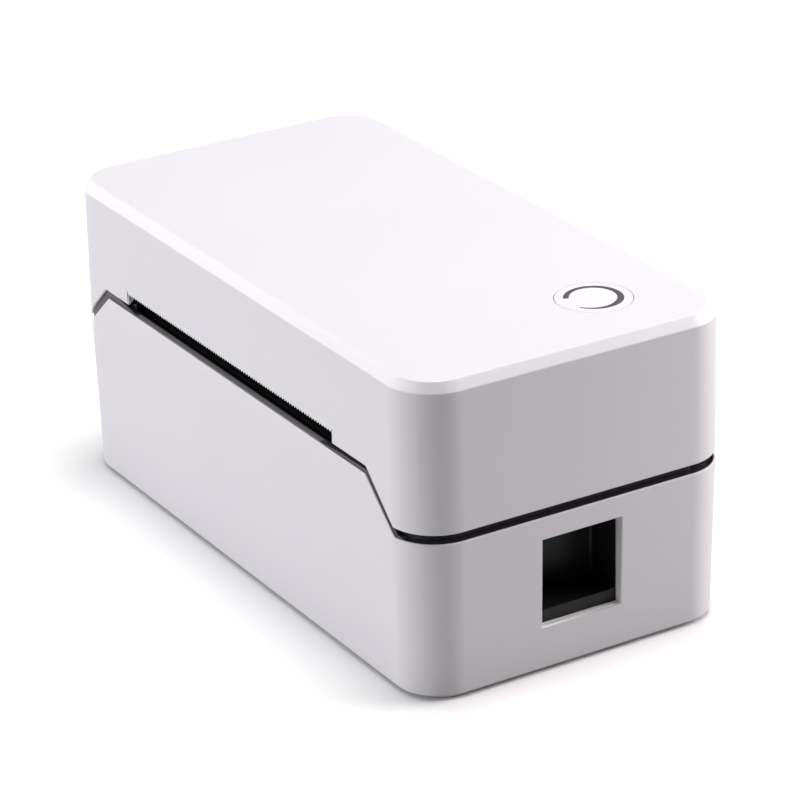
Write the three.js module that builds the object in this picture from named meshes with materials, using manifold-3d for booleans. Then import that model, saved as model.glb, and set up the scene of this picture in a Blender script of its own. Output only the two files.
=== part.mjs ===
// A compact direct-thermal label printer: a white box whose upper half is a lid hinged at the rear.
//
// Labels come in through a slot at the rear, lie on a black bed between two coupled guides, pass
// between a rubber platen roller in the base and a sprung printhead in the lid, and leave at the
// front under a toothed tear bar. A stepper motor turns the platen through a gear train.
//
// Millimetres. +Z is up, +X runs along the long side towards the side with the button, and labels
// leave towards -Y. The origin is on the surface the feet stand on, under the middle of the box.

import * as THREE from "three";
import { mergeVertices } from "three/addons/utils/BufferGeometryUtils.js";
import Module from "manifold-3d";

const wasm = await Module();
wasm.setup();

// ---------------------------------------------------------------- driving dimensions

const LENGTH = 200;
const DEPTH = 103.3;
const HEIGHT = 93.7;
const CORNER_RADIUS = 14.4;
const WALL = 2.4;
const FIT_GAP = 0.3;

const SHELL_BOTTOM_Z = 0.8;
const WIDEST_Z = 48.6;
const BASE_DRAFT = Math.tan(THREE.MathUtils.degToRad(1.35));
const LID_DRAFT = Math.tan(THREE.MathUtils.degToRad(0.46));
const TOP_BEVEL = { inset: 1.9, drop: 3 };
const BOTTOM_BEVEL = 0.7;

// The seam between the halves, flat round the sides and back and raised across the front.
const SEAM = { base: 47.3, lid: 49.9 };
const FRONT_SEAM = {
  base: { level: 60.3, left: -77.1, right: 72.9, footLeft: -91.5, footRight: 87.6 },
  lid: { level: 62.7, left: -78.4, right: 73.4, footLeft: -92.2, footRight: 87.0 },
};
const FRONT_ZONE_Y = -38;
const LIP = 0.55;
const RIM_HEIGHT = 2.3;
const UPSTAND_HEIGHT = 3.6;

const MEDIA = { left: -63.5, right: 55.5, top: 66.4, feedBottom: 41.3 };
const TEAR = { front: -51.3, top: 66.2, fold: 66.3, root: 65.9, tip: 65.1, teeth: 87 };
const MEDIA_CENTRE_X = (MEDIA.left + MEDIA.right) / 2;

const RECESS = { y0: -12.3, y1: 13.5, z0: 13.9, z1: 40.6 };

const BUTTON = { x: 72.2, y: 23, radius: 10.85, under: 88.9 };
const MARK = { radius: 8.35, from: -61, to: 240 };

const SCREW_POST = { x: 91.3, y: 30, radius: 4.3 };
const FOOT = { x: 78, y: 36 };
const FRAME_INSET = 4.4;

const HINGE = { y: 46, z: 53.3, pinRadius: 1.75, boss: 3, sweep: 7 };
const HINGE_LUGS = [[69, 73.5], [82, 86.5]];
const HINGE_KNUCKLE = [74, 81.5];

const PLATEN = { y: -33, z: 52.2, radius: 8, core: 4, shaft: 2.5, x0: -62, x1: 54 };
const GEAR_MODULE = 0.8;
const TEETH = { motor: 12, idlerLarge: 32, idlerSmall: 12, platen: 20 };
const MOTOR = { y: -16, z: 27.8, radius: 17.5, x0: 35, x1: 57.1 };
const CHEEK_RIGHT = [57.5, 59.5];
const CHEEK_LEFT = [-67.5, -65.5];

const BED = { top: 50.8, thickness: 2, x0: -65.2, x1: 57.2 };
const GUIDE = { halfWidth: 52, y0: -10, y1: 34, top: 61 };
const GUIDE_PINION = { y: 12, teeth: 14, module: 1, z0: 44.4, z1: 47.8 };

const LATCH = { x: 79, z: 46.8, pinRadius: 1.5 };
const HEAD = { x0: -61.5, x1: 53.5, y0: -43.5, y1: -23.5, z0: 62, z1: 67 };
const LINER = { z0: 66.9, z1: 69.3, skirtZ: 54, rearSkirtZ: 48.4 };
const REAR_PANEL = { x0: -30, x1: 52, z0: 9.5, z1: 31 };
const SWITCH = { x: -18, y: 47.9, z: 20.5, rest: THREE.MathUtils.degToRad(-7) };

// ---------------------------------------------------------------- finishes

const FINISHES = {
  whiteCase: { color: "#f1f0f4", roughness: 0.42, metalness: 0 },
  blackPlastic: { color: "#1d1d20", roughness: 0.6, metalness: 0 },
  greyPlastic: { color: "#4b4c50", roughness: 0.55, metalness: 0 },
  steel: { color: "#b9bbbf", roughness: 0.3, metalness: 1 },
  zinc: { color: "#a8a9a6", roughness: 0.45, metalness: 1 },
  aluminium: { color: "#c6c8cb", roughness: 0.4, metalness: 1 },
  ceramic: { color: "#2b2320", roughness: 0.15, metalness: 0 },
  rollerRubber: { color: "#2c2c2e", roughness: 0.85, metalness: 0 },
  footRubber: { color: "#3a3a3c", roughness: 0.9, metalness: 0 },
  acetal: { color: "#e9e5d8", roughness: 0.4, metalness: 0 },
  circuitBoard: { color: "#1f5b39", roughness: 0.45, metalness: 0 },
  markGrey: { color: "#5a5c61", roughness: 0.3, metalness: 0 },
};

// ---------------------------------------------------------------- solids

/** Turns a closed geometry into a solid that can be joined and cut. */
function toSolid(geometry) {
  const bare = geometry.clone();
  bare.deleteAttribute("normal");
  bare.deleteAttribute("uv");
  const merged = mergeVertices(bare, 1e-4);
  return new wasm.Manifold(new wasm.Mesh({
    numProp: 3,
    vertProperties: new Float32Array(merged.attributes.position.array),
    triVerts: new Uint32Array(merged.index.array),
  }));
}

function toGeometry(solid) {
  const { vertProperties, triVerts } = solid.simplify(0.004).getMesh();
  const geometry = new THREE.BufferGeometry();
  geometry.setAttribute("position", new THREE.BufferAttribute(vertProperties, 3));
  geometry.setIndex(new THREE.BufferAttribute(triVerts, 1));
  geometry.computeVertexNormals();
  return geometry;
}

function join(first, ...rest) {
  return rest.reduce((whole, piece) => whole.add(piece), first);
}

function cut(first, ...rest) {
  return rest.reduce((whole, piece) => whole.subtract(piece), first);
}

function outline(points) {
  return new THREE.Shape(points.map(([x, y]) => new THREE.Vector2(x, y)));
}

function disc(radius, x = 0, y = 0) {
  return new THREE.Shape().absarc(x, y, radius, 0, 2 * Math.PI);
}

function ringShape(outer, inner, x = 0, y = 0) {
  const shape = disc(outer, x, y);
  shape.holes.push(disc(inner, x, y));
  return shape;
}

/** Extrudes a shape drawn in two of the axes along the third, between two levels. */
function extrude(shape, from, to, basis, curveSegments) {
  const settings = { depth: to - from, bevelEnabled: false, curveSegments };
  const geometry = new THREE.ExtrudeGeometry(shape, settings);
  geometry.translate(0, 0, from);
  geometry.applyMatrix4(basis);
  return toSolid(geometry);
}

const AXIS_X = new THREE.Vector3(1, 0, 0);
const AXIS_Y = new THREE.Vector3(0, 1, 0);
const AXIS_Z = new THREE.Vector3(0, 0, 1);
const ALONG_X = new THREE.Matrix4().makeBasis(AXIS_Y, AXIS_Z, AXIS_X);
const ALONG_Z = new THREE.Matrix4();
const ALONG_MINUS_Y = new THREE.Matrix4().makeBasis(AXIS_X, AXIS_Z, AXIS_Y.clone().negate());

/** A shape drawn in (y, z), extruded from x0 to x1. */
function alongX(shape, x0, x1, curveSegments = 8) {
  return extrude(shape, x0, x1, ALONG_X, curveSegments);
}

/** A shape drawn in (x, z), extruded from y0 to y1. */
function alongY(shape, y0, y1, curveSegments = 8) {
  return extrude(shape, -y1, -y0, ALONG_MINUS_Y, curveSegments);
}

/** A shape drawn in (x, y), extruded from z0 to z1. */
function alongZ(shape, z0, z1, curveSegments = 8) {
  return extrude(shape, z0, z1, ALONG_Z, curveSegments);
}

function block([x0, x1], [y0, y1], [z0, z1]) {
  const geometry = new THREE.BoxGeometry(x1 - x0, y1 - y0, z1 - z0);
  geometry.translate((x0 + x1) / 2, (y0 + y1) / 2, (z0 + z1) / 2);
  return toSolid(geometry);
}

/** The same solid on the other side of the middle plane x = 0. */
function mirrored(solid) {
  return solid.mirror([1, 0, 0]);
}

// ---------------------------------------------------------------- the box and its seam

function draftAt(z) {
  return z < WIDEST_Z ? (WIDEST_Z - z) * BASE_DRAFT : (z - WIDEST_Z) * LID_DRAFT;
}

/** A rectangle with round corners that keeps the corner centres of the box at any inset. */
function roundedOutline(inset) {
  const radius = CORNER_RADIUS - inset;
  const x = LENGTH / 2 - CORNER_RADIUS;
  const y = DEPTH / 2 - CORNER_RADIUS;
  const shape = new THREE.Shape();
  [[x, y], [-x, y], [-x, -y], [x, -y]].forEach(([cornerX, cornerY], quarter) => {
    shape.absarc(cornerX, cornerY, radius, quarter * Math.PI / 2, (quarter + 1) * Math.PI / 2);
  });
  return shape;
}

/** A solid of the box's plan, drawn in by its own inset at each level. */
function boxSolid(levels) {
  const radius = CORNER_RADIUS - levels[0].inset;
  const geometry = new THREE.ExtrudeGeometry(roundedOutline(levels[0].inset), {
    depth: levels.length - 1,
    steps: levels.length - 1,
    bevelEnabled: false,
    curveSegments: 6,
  });
  const position = geometry.attributes.position;
  for (let i = 0; i < position.count; i++) {
    const level = levels[Math.round(position.getZ(i))];
    const scale = (CORNER_RADIUS - level.inset) / radius;
    const cornerX = Math.sign(position.getX(i)) * (LENGTH / 2 - CORNER_RADIUS);
    const cornerY = Math.sign(position.getY(i)) * (DEPTH / 2 - CORNER_RADIUS);
    const x = cornerX + (position.getX(i) - cornerX) * scale;
    const y = cornerY + (position.getY(i) - cornerY) * scale;
    position.setXYZ(i, x, y, level.z);
  }
  return toSolid(geometry);
}

/** The whole outside of the printer. */
function outsideSolid() {
  const bevelZ = HEIGHT - TOP_BEVEL.drop;
  return boxSolid([
    { z: SHELL_BOTTOM_Z, inset: draftAt(SHELL_BOTTOM_Z) + BOTTOM_BEVEL },
    { z: SHELL_BOTTOM_Z + BOTTOM_BEVEL, inset: draftAt(SHELL_BOTTOM_Z + BOTTOM_BEVEL) },
    { z: WIDEST_Z, inset: 0 },
    { z: bevelZ, inset: draftAt(bevelZ) },
    { z: HEIGHT, inset: draftAt(HEIGHT) + TOP_BEVEL.inset },
  ]);
}

/** A slice of the box between two levels, a given distance inside its outer surface. */
function inside(inset, z0, z1) {
  const levels = [z0, WIDEST_Z, z1].filter((z) => z >= z0 && z <= z1);
  const unique = levels.filter((z, index) => levels.indexOf(z) === index);
  return boxSolid(unique.map((z) => ({ z, inset: inset + draftAt(z) })));
}

/** Everything below one edge of the seam, lowered by a drop. */
function belowSeam(side, drop = 0) {
  const front = FRONT_SEAM[side];
  const flat = SEAM[side] - drop;
  const raised = front.level - drop;
  const reach = LENGTH;
  const profile = outline([
    [-reach, -reach],
    [reach, -reach],
    [reach, flat],
    [front.footRight, flat],
    [front.right, raised],
    [front.left, raised],
    [front.footLeft, flat],
    [-reach, flat],
  ]);
  return join(
    alongY(profile, -reach, FRONT_ZONE_Y),
    block([-reach, reach], [FRONT_ZONE_Y, reach], [-reach, flat]),
  );
}

/** A bar along the hinge axis that clears everything the lid's rear edge sweeps through. */
function hingeSweep() {
  return alongX(disc(HINGE.sweep, HINGE.y, HINGE.z), -LENGTH, LENGTH, 8);
}

// ---------------------------------------------------------------- base: case and frame

function baseShell() {
  const walls = cut(outsideSolid(), inside(WALL, -1, HEIGHT - WALL)).intersect(belowSeam("base"));
  const rebate = cut(inside(LIP, 30, 70), belowSeam("base", RIM_HEIGHT + FIT_GAP));
  const window = block([80, 110], [RECESS.y0, RECESS.y1], [RECESS.z0, RECESS.z1]);
  const feedSlot = block([MEDIA.left, MEDIA.right], [45, 60], [MEDIA.feedBottom, 60]);
  const panelOpening = block([REAR_PANEL.x0, REAR_PANEL.x1], [45, 60], [REAR_PANEL.z0, REAR_PANEL.z1]);
  return cut(walls, rebate, window, mirrored(window), feedSlot, panelOpening);
}

/** The four posts that the case screws bite into. */
function forEachPost(make) {
  const { x, y } = SCREW_POST;
  return [-1, 1].flatMap((sideX) => [-1, 1].map((sideY) => make(sideX * x, sideY * y, sideX)));
}

function hingeBracket([x0, x1]) {
  const arm = outline([
    [36, 34],
    [48, 34],
    [48, 44],
    [40.5, 44],
    [40.5, HINGE.z - HINGE.boss],
    [HINGE.y, HINGE.z - HINGE.boss],
    [HINGE.y, HINGE.z + HINGE.boss],
    [36, HINGE.z + HINGE.boss],
  ]);
  return join(alongX(arm, x0, x1), alongX(disc(HINGE.boss, HINGE.y, HINGE.z), x0, x1));
}

function chassisFrame() {
  const rim = cut(inside(LIP + FIT_GAP, 30, 70), belowSeam("base", RIM_HEIGHT), inside(FRAME_INSET, 20, 80));
  const skirt = cut(inside(WALL + FIT_GAP, 34, 66), inside(FRAME_INSET, 20, 80));
  const upstand = cut(inside(WALL + 0.5, 44, 66), inside(FRAME_INSET, 20, 80))
    .intersect(belowSeam("base", -UPSTAND_HEIGHT))
    .intersect(block([-LENGTH, LENGTH], [-LENGTH, -FRONT_ZONE_Y], [40, 80]));
  const middle = block([CHEEK_LEFT[0] - 0.7, 67.2], [-46.9, 46.9], [30, 60]);
  const deck = cut(inside(WALL + FIT_GAP, 43, SEAM.base - RIM_HEIGHT), middle);
  const latchWell = block([74.5, 94.9], [-17, 18], [30, 47]);
  const flangeWell = block([94, 98.5], [-17, 18], [30, SEAM.base - RIM_HEIGHT]);
  const hingeWell = block([68.5, 87], [40.5, 46.9], [42, 50]);
  const feedSlot = block([BED.x0 - 0.5, BED.x1 + 0.5], [40, 60], [MEDIA.feedBottom - 1, 60]);
  const exitPath = block([MEDIA.left - 0.5, MEDIA.right + 1.5], [-48.7, -40], [58.6, 70]);
  const posts = forEachPost((x, y, sideX) => join(
    cut(alongZ(disc(SCREW_POST.radius, x, y), 5.6, 46, 6), alongZ(disc(1.7, x, y), 5, 20, 4)),
    block(sideX > 0 ? [x, 96] : [-96, x], [y - 3, y + 3], [34, 46]),
  ));
  const brackets = HINGE_LUGS.map(hingeBracket);
  const shaped = cut(
    join(rim.intersect(belowSeam("base")), skirt.intersect(belowSeam("base")), upstand, deck, ...posts),
    hingeSweep(),
    latchWell,
    mirrored(latchWell),
    flangeWell,
    mirrored(flangeWell),
    hingeWell,
    mirrored(hingeWell),
    feedSlot,
    exitPath,
  );
  const pinHole = alongX(disc(HINGE.pinRadius + 0.1, HINGE.y, HINGE.z), -LENGTH, LENGTH);
  return cut(join(shaped, ...brackets, ...brackets.map(mirrored)), pinHole);
}

function bottomPlate() {
  const bosses = forEachPost((x, y) => alongZ(disc(SCREW_POST.radius, x, y), 2, 5.3, 6));
  const counterbores = forEachPost((x, y) => alongZ(disc(3.1, x, y), 0, 3.5, 5));
  const holes = forEachPost((x, y) => alongZ(disc(1.7, x, y), 0, 6, 4));
  const standoffs = boardHoles().map(([x, y]) => alongZ(disc(2.5, x, y), 3, 9.3, 4));
  return cut(join(inside(WALL + FIT_GAP, 1.3, 3.3), ...bosses, ...standoffs), ...counterbores, ...holes);
}

function foot(x, y) {
  const profile = outline([[0, 0], [6, 0], [6.4, 0.4], [6.4, 1], [0, 1]]);
  const geometry = new THREE.LatheGeometry(profile.getPoints(), 20);
  geometry.rotateX(Math.PI / 2);
  geometry.translate(x, y, 0);
  return geometry;
}

/** A pan-head screw standing on its head, driven upwards. */
function screw(x, y, headZ, headRadius, shankRadius, length) {
  const head = alongZ(disc(headRadius, x, y), headZ, headZ + 1.5, 6);
  const shank = alongZ(disc(shankRadius, x, y), headZ + 1.4, headZ + 1.5 + length, 5);
  const drive = join(
    block([x - 1.4, x + 1.4], [y - 0.3, y + 0.3], [headZ - 1, headZ + 0.7]),
    block([x - 0.3, x + 0.3], [y - 1.4, y + 1.4], [headZ - 1, headZ + 0.7]),
  );
  return cut(join(head, shank), drive);
}

// ---------------------------------------------------------------- base: label path

function bedProfile() {
  const top = BED.top;
  const under = top - BED.thickness;
  return outline([
    [48, 42.4],
    [36, top],
    [-14, top],
    [-23.2, 58.9],
    [-24.6, 57.4],
    [-15, under],
    [35.2, under],
    [47, 40.6],
  ]);
}

function guideSlot(x0, x1, y) {
  return block([x0, x1], [y - 2.2, y + 2.2], [40, 56]);
}

function guideRackLine(side) {
  return GUIDE_PINION.y - side * GUIDE_PINION.teeth * GUIDE_PINION.module / 2;
}

function paperBed() {
  const plate = alongX(bedProfile(), BED.x0, BED.x1);
  const sensorWindow = block([-22.4, -15.6], [-9.4, -4.6], [40, 56]);
  return cut(
    plate,
    guideSlot(18, 57.9, guideRackLine(1)),
    guideSlot(-65.9, -26, guideRackLine(-1)),
    sensorWindow,
  );
}

/** One upstanding guide with the foot and toothed rack under the bed. Side 1 is the +X guide. */
function mediaGuide(side) {
  const lineY = guideRackLine(side);
  const faceX = MEDIA_CENTRE_X + side * GUIDE.halfWidth;
  const span = (a, b) => [Math.min(a, b), Math.max(a, b)];
  const wall = outline([
    [GUIDE.y0, BED.top + FIT_GAP],
    [GUIDE.y1, BED.top + FIT_GAP],
    [GUIDE.y1, GUIDE.top - 5],
    [GUIDE.y1 - 5, GUIDE.top],
    [GUIDE.y0 + 4, GUIDE.top],
    [GUIDE.y0, GUIDE.top - 4],
  ]);
  const upright = alongX(wall, ...span(faceX, faceX + side * 2));
  const ledgeLine = [GUIDE.y0 + 6, GUIDE.y1 - 6];
  const ledge = block(span(faceX + side * 1.5, faceX + side * 3.4), ledgeLine, [51.1, 52.9]);
  const neck = block(span(faceX + side * 0.2, faceX + side * 1.8), [lineY - 1.6, lineY + 1.6], [45, 53]);
  const pitch = Math.PI * GUIDE_PINION.module;
  const bodyY = side * 3.4;
  const reach = span(MEDIA_CENTRE_X - side * 13, faceX + side * 1.8);
  const { z0, z1 } = GUIDE_PINION;
  const bar = block(reach, span(lineY - side * 1.25, lineY - bodyY - side * 1.25), [z0, z1]);
  const first = Math.ceil((reach[0] - MEDIA_CENTRE_X) / pitch - 0.5 + 0.3);
  const last = Math.floor((reach[1] - MEDIA_CENTRE_X) / pitch - 0.5 - 0.3);
  const teeth = [];
  for (let index = first; index <= last; index++) {
    const x = MEDIA_CENTRE_X + (index + 0.5) * pitch;
    const y = (offset) => lineY + side * offset;
    const corners = [[x - 1.2, y(-1.35)], [x + 1.2, y(-1.35)], [x + 0.34, y(0.9)], [x - 0.34, y(0.9)]];
    teeth.push(alongZ(outline(side > 0 ? corners : corners.reverse()), z0, z1));
  }
  return join(upright, ledge, neck, bar, ...teeth);
}

function exitGuide() {
  return alongX(outline([[-46.7, 54], [-43.5, 54], [-42.3, 58.6], [-43.2, 60], [-46.7, 60]]), -64, 56.6);
}

function cheek([x0, x1]) {
  const top = BED.top + 1.5;
  const side = outline([
    [-45.5, 4.2],
    [2, 4.2],
    [2, 34],
    [12, 39],
    [40, 39],
    [40, 46],
    [36.5, top],
    [-12, top],
    [-24, 58.5],
    [-42, 58.5],
    [-45.5, 53],
  ]);
  return alongX(side, x0, x1);
}

/** The idler's centre, where its two wheels reach the platen gear and the motor pinion. */
function idlerCentre() {
  const toPlaten = GEAR_MODULE * (TEETH.idlerSmall + TEETH.platen) / 2;
  const toMotor = GEAR_MODULE * (TEETH.idlerLarge + TEETH.motor) / 2;
  const span = new THREE.Vector2(MOTOR.y - PLATEN.y, MOTOR.z - PLATEN.z);
  const distance = span.length();
  const along = (toPlaten ** 2 - toMotor ** 2 + distance ** 2) / (2 * distance);
  const across = Math.sqrt(toPlaten ** 2 - along ** 2);
  const unit = span.clone().divideScalar(distance);
  return {
    y: PLATEN.y + unit.x * along + unit.y * across,
    z: PLATEN.z + unit.y * along - unit.x * across,
  };
}

function cheekRight() {
  const idler = idlerCentre();
  return cut(
    cheek(CHEEK_RIGHT),
    alongX(disc(4.9, PLATEN.y, PLATEN.z), 50, 70),
    alongX(disc(5.5, MOTOR.y, MOTOR.z), 50, 70),
    alongX(disc(1.6, idler.y, idler.z), 50, 70, 8),
  );
}

function cheekLeft() {
  return cut(cheek(CHEEK_LEFT), alongX(disc(4.9, PLATEN.y, PLATEN.z), -80, -50));
}

function platenBush([x0, x1]) {
  return alongX(ringShape(4.6, PLATEN.shaft + 0.15, PLATEN.y, PLATEN.z), x0 - 0.2, x1 + 0.2);
}

// ---------------------------------------------------------------- drive train

/** Points of one involute flank from root to tip, as radius and angle from the tooth's middle. */
function flank(module, teeth, backlash) {
  const pressure = THREE.MathUtils.degToRad(20);
  const pitchRadius = module * teeth / 2;
  const baseRadius = pitchRadius * Math.cos(pressure);
  const rootRadius = pitchRadius - 1.25 * module;
  const tipRadius = pitchRadius + 0.95 * module;
  const involute = (radius) => {
    const angle = Math.acos(Math.min(1, baseRadius / radius));
    return Math.tan(angle) - angle;
  };
  const half = Math.PI / (2 * teeth) - backlash / (2 * pitchRadius);
  const start = Math.max(baseRadius, rootRadius);
  const points = [0, 1].map((t) => {
    const radius = start + (tipRadius - start) * t;
    return { radius, angle: half + involute(pitchRadius) - involute(radius) };
  });
  const root = { radius: Math.min(rootRadius, start - 0.05), angle: points[0].angle + 0.01 };
  return [root, ...points];
}

/** A spur gear's outline with one tooth centred on the angle of its phase. */
function gearOutline(module, teeth, phase, centreX, centreY, backlash = 0.16) {
  const side = flank(module, teeth, backlash);
  const points = [];
  for (let tooth = 0; tooth < teeth; tooth++) {
    const middle = phase + tooth * 2 * Math.PI / teeth;
    const place = ({ radius, angle }, sign) => [
      centreX + radius * Math.cos(middle + sign * angle),
      centreY + radius * Math.sin(middle + sign * angle),
    ];
    side.forEach((point) => points.push(place(point, -1)));
    [...side].reverse().forEach((point) => points.push(place(point, 1)));
  }
  return outline(points);
}

/** The phase that puts a gap of the second gear where the first gear has a tooth. */
function meshedPhase(first, second) {
  const direction = Math.atan2(second.z - first.z, second.y - first.y);
  const turned = (first.phase - direction) * first.teeth / second.teeth;
  return direction + Math.PI + Math.PI / second.teeth - turned;
}

const platenWheel = { y: PLATEN.y, z: PLATEN.z, teeth: TEETH.platen, phase: 0 };
const idlerSmallWheel = { ...idlerCentre(), teeth: TEETH.idlerSmall };
idlerSmallWheel.phase = meshedPhase(platenWheel, idlerSmallWheel);
const idlerLargeWheel = { ...idlerCentre(), teeth: TEETH.idlerLarge, phase: 0 };
const motorWheel = { y: MOTOR.y, z: MOTOR.z, teeth: TEETH.motor };
motorWheel.phase = meshedPhase(idlerLargeWheel, motorWheel);

function wheelSolid(wheel, x0, x1) {
  return alongX(gearOutline(GEAR_MODULE, wheel.teeth, wheel.phase, wheel.y, wheel.z), x0, x1);
}

/** The wheel under the bed that couples the two guides' racks. */
function guidePinion() {
  const { y, teeth, module, z0, z1 } = GUIDE_PINION;
  const wheel = gearOutline(module, teeth, -Math.PI / 2, MEDIA_CENTRE_X, y, 0.2);
  const hub = disc(2.6, MEDIA_CENTRE_X, y);
  return join(alongZ(wheel, z0, z1), alongZ(hub, z1 - 0.1, BED.top - BED.thickness - FIT_GAP));
}

function platenRoller() {
  const sleeve = ringShape(PLATEN.radius, PLATEN.core + 0.15, PLATEN.y, PLATEN.z);
  return alongX(sleeve, PLATEN.x0, PLATEN.x1, 16);
}

function platenShaft() {
  const core = alongX(disc(PLATEN.core, PLATEN.y, PLATEN.z), PLATEN.x0, PLATEN.x1);
  const journals = alongX(disc(PLATEN.shaft, PLATEN.y, PLATEN.z), -71, 63);
  return join(core, journals);
}

function platenGear() {
  const bore = alongX(disc(PLATEN.shaft + 0.15, PLATEN.y, PLATEN.z), 50, 70);
  return cut(wheelSolid(platenWheel, 60.2, 62.8), bore);
}

function idlerGear() {
  const { y, z } = idlerCentre();
  const wheels = join(wheelSolid(idlerSmallWheel, 60.2, 63.2), wheelSolid(idlerLargeWheel, 63.1, 65.8));
  const web = alongX(ringShape(10.6, 6.4, y, z), 65, 67);
  return cut(wheels, alongX(disc(1.65, y, z), 50, 70, 8), web);
}

function idlerAxle() {
  const { y, z } = idlerCentre();
  const retainer = alongX(ringShape(2.8, 1.2, y, z), 66.1, 66.7, 8);
  return join(alongX(disc(1.35, y, z), 56.2, 67.3, 8), retainer);
}

function motorPinion() {
  const shaft = alongX(disc(1.5, MOTOR.y, MOTOR.z), 57.5, 66.6, 8);
  return join(wheelSolid(motorWheel, 63.1, 66), shaft);
}

function motorBody() {
  const { y, z, radius, x0, x1 } = MOTOR;
  const can = alongX(disc(radius, y, z), x0, x1 - 1, 16);
  const ears = block([x1 - 1.2, x1], [y - 24, y + 24], [z - 4, z + 4]);
  const boss = alongX(disc(4.6, y, z), x1 - 2, x1);
  return cut(join(can, ears, boss), alongX(disc(1.9, y, z), x1 - 1.5, x1 + 5, 8));
}

// ---------------------------------------------------------------- release recesses and latches

/** The black pocket behind a side window, open at the top where the release paddle hangs. */
function recessLiner() {
  const flange = block([95.2, 96.6], [-16, 17], [11.5, 44.6]);
  const box = block([82.9, 96], [-14.2, 15.4], [16.1, 44.6]);
  const pocket = block([84.5, 110], [-12.6, 13.8], [17.7, 60]);
  const ear = outline([[75.5, 40], [75.5, 50], [83, 50], [88.5, 44.6], [88.5, 40]]);
  const ears = [[-14.2, -12.6], [13.8, 15.4]].map(([y0, y1]) => alongY(ear, y0, y1));
  const pinHole = alongY(disc(LATCH.pinRadius + 0.15, LATCH.x, LATCH.z), -20, 20);
  return cut(join(flange, box, ...ears), pocket, pinHole);
}

function latchPin() {
  return alongY(disc(LATCH.pinRadius, LATCH.x, LATCH.z), -14.6, 15.8, 8);
}

/** The release lever: a paddle to lift, a pivot, and a hook that stands up beside the lid's catch. */
function latchLever() {
  const lever = outline([
    [84.9, 38.5],
    [94, 38.5],
    [94, 40.3],
    [88.2, 40.3],
    [88.2, 46.5],
    [86.2, 48.4],
    [81.6, 48.4],
    [80.6, 50],
    [80.6, 57.3],
    [85.7, 57.3],
    [85.7, 58.4],
    [81.8, 61],
    [77.2, 61],
    [76, 48.6],
    [76, 45.2],
    [84.9, 45.2],
  ]);
  const paddle = block([84.9, 94], [-11.6, 11.4], [38.5, 40.3]);
  const hub = alongY(disc(3.3, LATCH.x, LATCH.z), -8, 8, 8);
  const bore = alongY(disc(LATCH.pinRadius + 0.15, LATCH.x, LATCH.z), -20, 20);
  return cut(join(alongY(lever, -8, 8), paddle, hub), bore);
}

/** A helix wound about +Z. */
class Helix extends THREE.Curve {
  constructor(radius, pitch, turns) {
    super();
    Object.assign(this, { radius, pitch, turns });
  }

  getPoint(t, target = new THREE.Vector3()) {
    const angle = t * this.turns * 2 * Math.PI;
    return target.set(
      this.radius * Math.cos(angle),
      this.radius * Math.sin(angle),
      this.pitch * this.turns * t,
    );
  }
}

function coilSpring(radius, wire, pitch, turns) {
  const geometry = new THREE.ExtrudeGeometry(disc(wire / 2), {
    steps: Math.round(turns * 10),
    curveSegments: 2,
    extrudePath: new Helix(radius, pitch, turns),
    bevelEnabled: false,
  });
  return toSolid(geometry);
}

function latchSpring() {
  return coilSpring(2.4, 0.6, 0.85, 3.5).rotate([90, 0, 0]).translate([LATCH.x, 12, LATCH.z]);
}

// ---------------------------------------------------------------- electronics and rear panel

function boardHoles() {
  return [[-57, 13], [-57, 41], [49, 13], [3, 41]];
}

function mainBoard() {
  const holes = boardHoles().map(([x, y]) => alongZ(disc(1.4, x, y), 5, 15, 6));
  return cut(block([-62, 54], [9, 45], [9.6, 11.2]), ...holes);
}

function rearPanel() {
  const gap = FIT_GAP;
  const plate = block(
    [REAR_PANEL.x0 + gap, REAR_PANEL.x1 - gap],
    [48.5, 50.6],
    [REAR_PANEL.z0 + gap, REAR_PANEL.z1 - gap],
  );
  return cut(
    plate,
    alongY(disc(4.5, 41, 17.2), 40, 60),
    block([13.4, 26.6], [40, 60], [11.2, 23.2]),
    block([SWITCH.x - 6.8, SWITCH.x + 6.8], [40, 60], [SWITCH.z - 9.3, SWITCH.z + 9.3]),
  );
}

function dcInlet() {
  const body = join(block([36.4, 45.6], [36, 48.2], [11.5, 22.2]), alongY(disc(4.2, 41, 17.2), 48, 50.8));
  const pin = alongY(disc(0.95, 41, 17.2), 39.5, 50.2, 6);
  return join(cut(body, alongY(disc(3, 41, 17.2), 40, 60)), pin);
}

function usbPort() {
  const shell = block([14, 26], [34, 50.9], [11.5, 22.9]);
  const tongue = block([17.2, 22.8], [36.5, 50.2], [15.4, 18.8]);
  return join(cut(shell, block([14.6, 25.4], [37, 60], [12.1, 22.3])), tongue);
}

function switchHousing() {
  const { x, z } = SWITCH;
  const frame = block([x - 6.4, x + 6.4], [40, 51], [z - 8.9, z + 8.9]);
  return cut(frame, block([x - 5.2, x + 5.2], [42, 60], [z - 7.8, z + 7.8]));
}

/** A rocker whose two faces meet in a shallow V, resting tilted to its off side. */
function switchRocker() {
  const face = outline([[-4.6, -5], [1.6, -6.9], [2.6, -6.7], [1.9, 0], [2.6, 6.7], [1.6, 6.9], [-4.6, 5]]);
  const paddle = alongX(face, SWITCH.x - 4.8, SWITCH.x + 4.8);
  const degrees = THREE.MathUtils.radToDeg(SWITCH.rest);
  return paddle.rotate([degrees, 0, 0]).translate([0, SWITCH.y, SWITCH.z]);
}

// ---------------------------------------------------------------- lid

function lidScrewPlaces() {
  return [[-84, -28], [-84, 28], [84, -28], [84, 37.5]];
}

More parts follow.
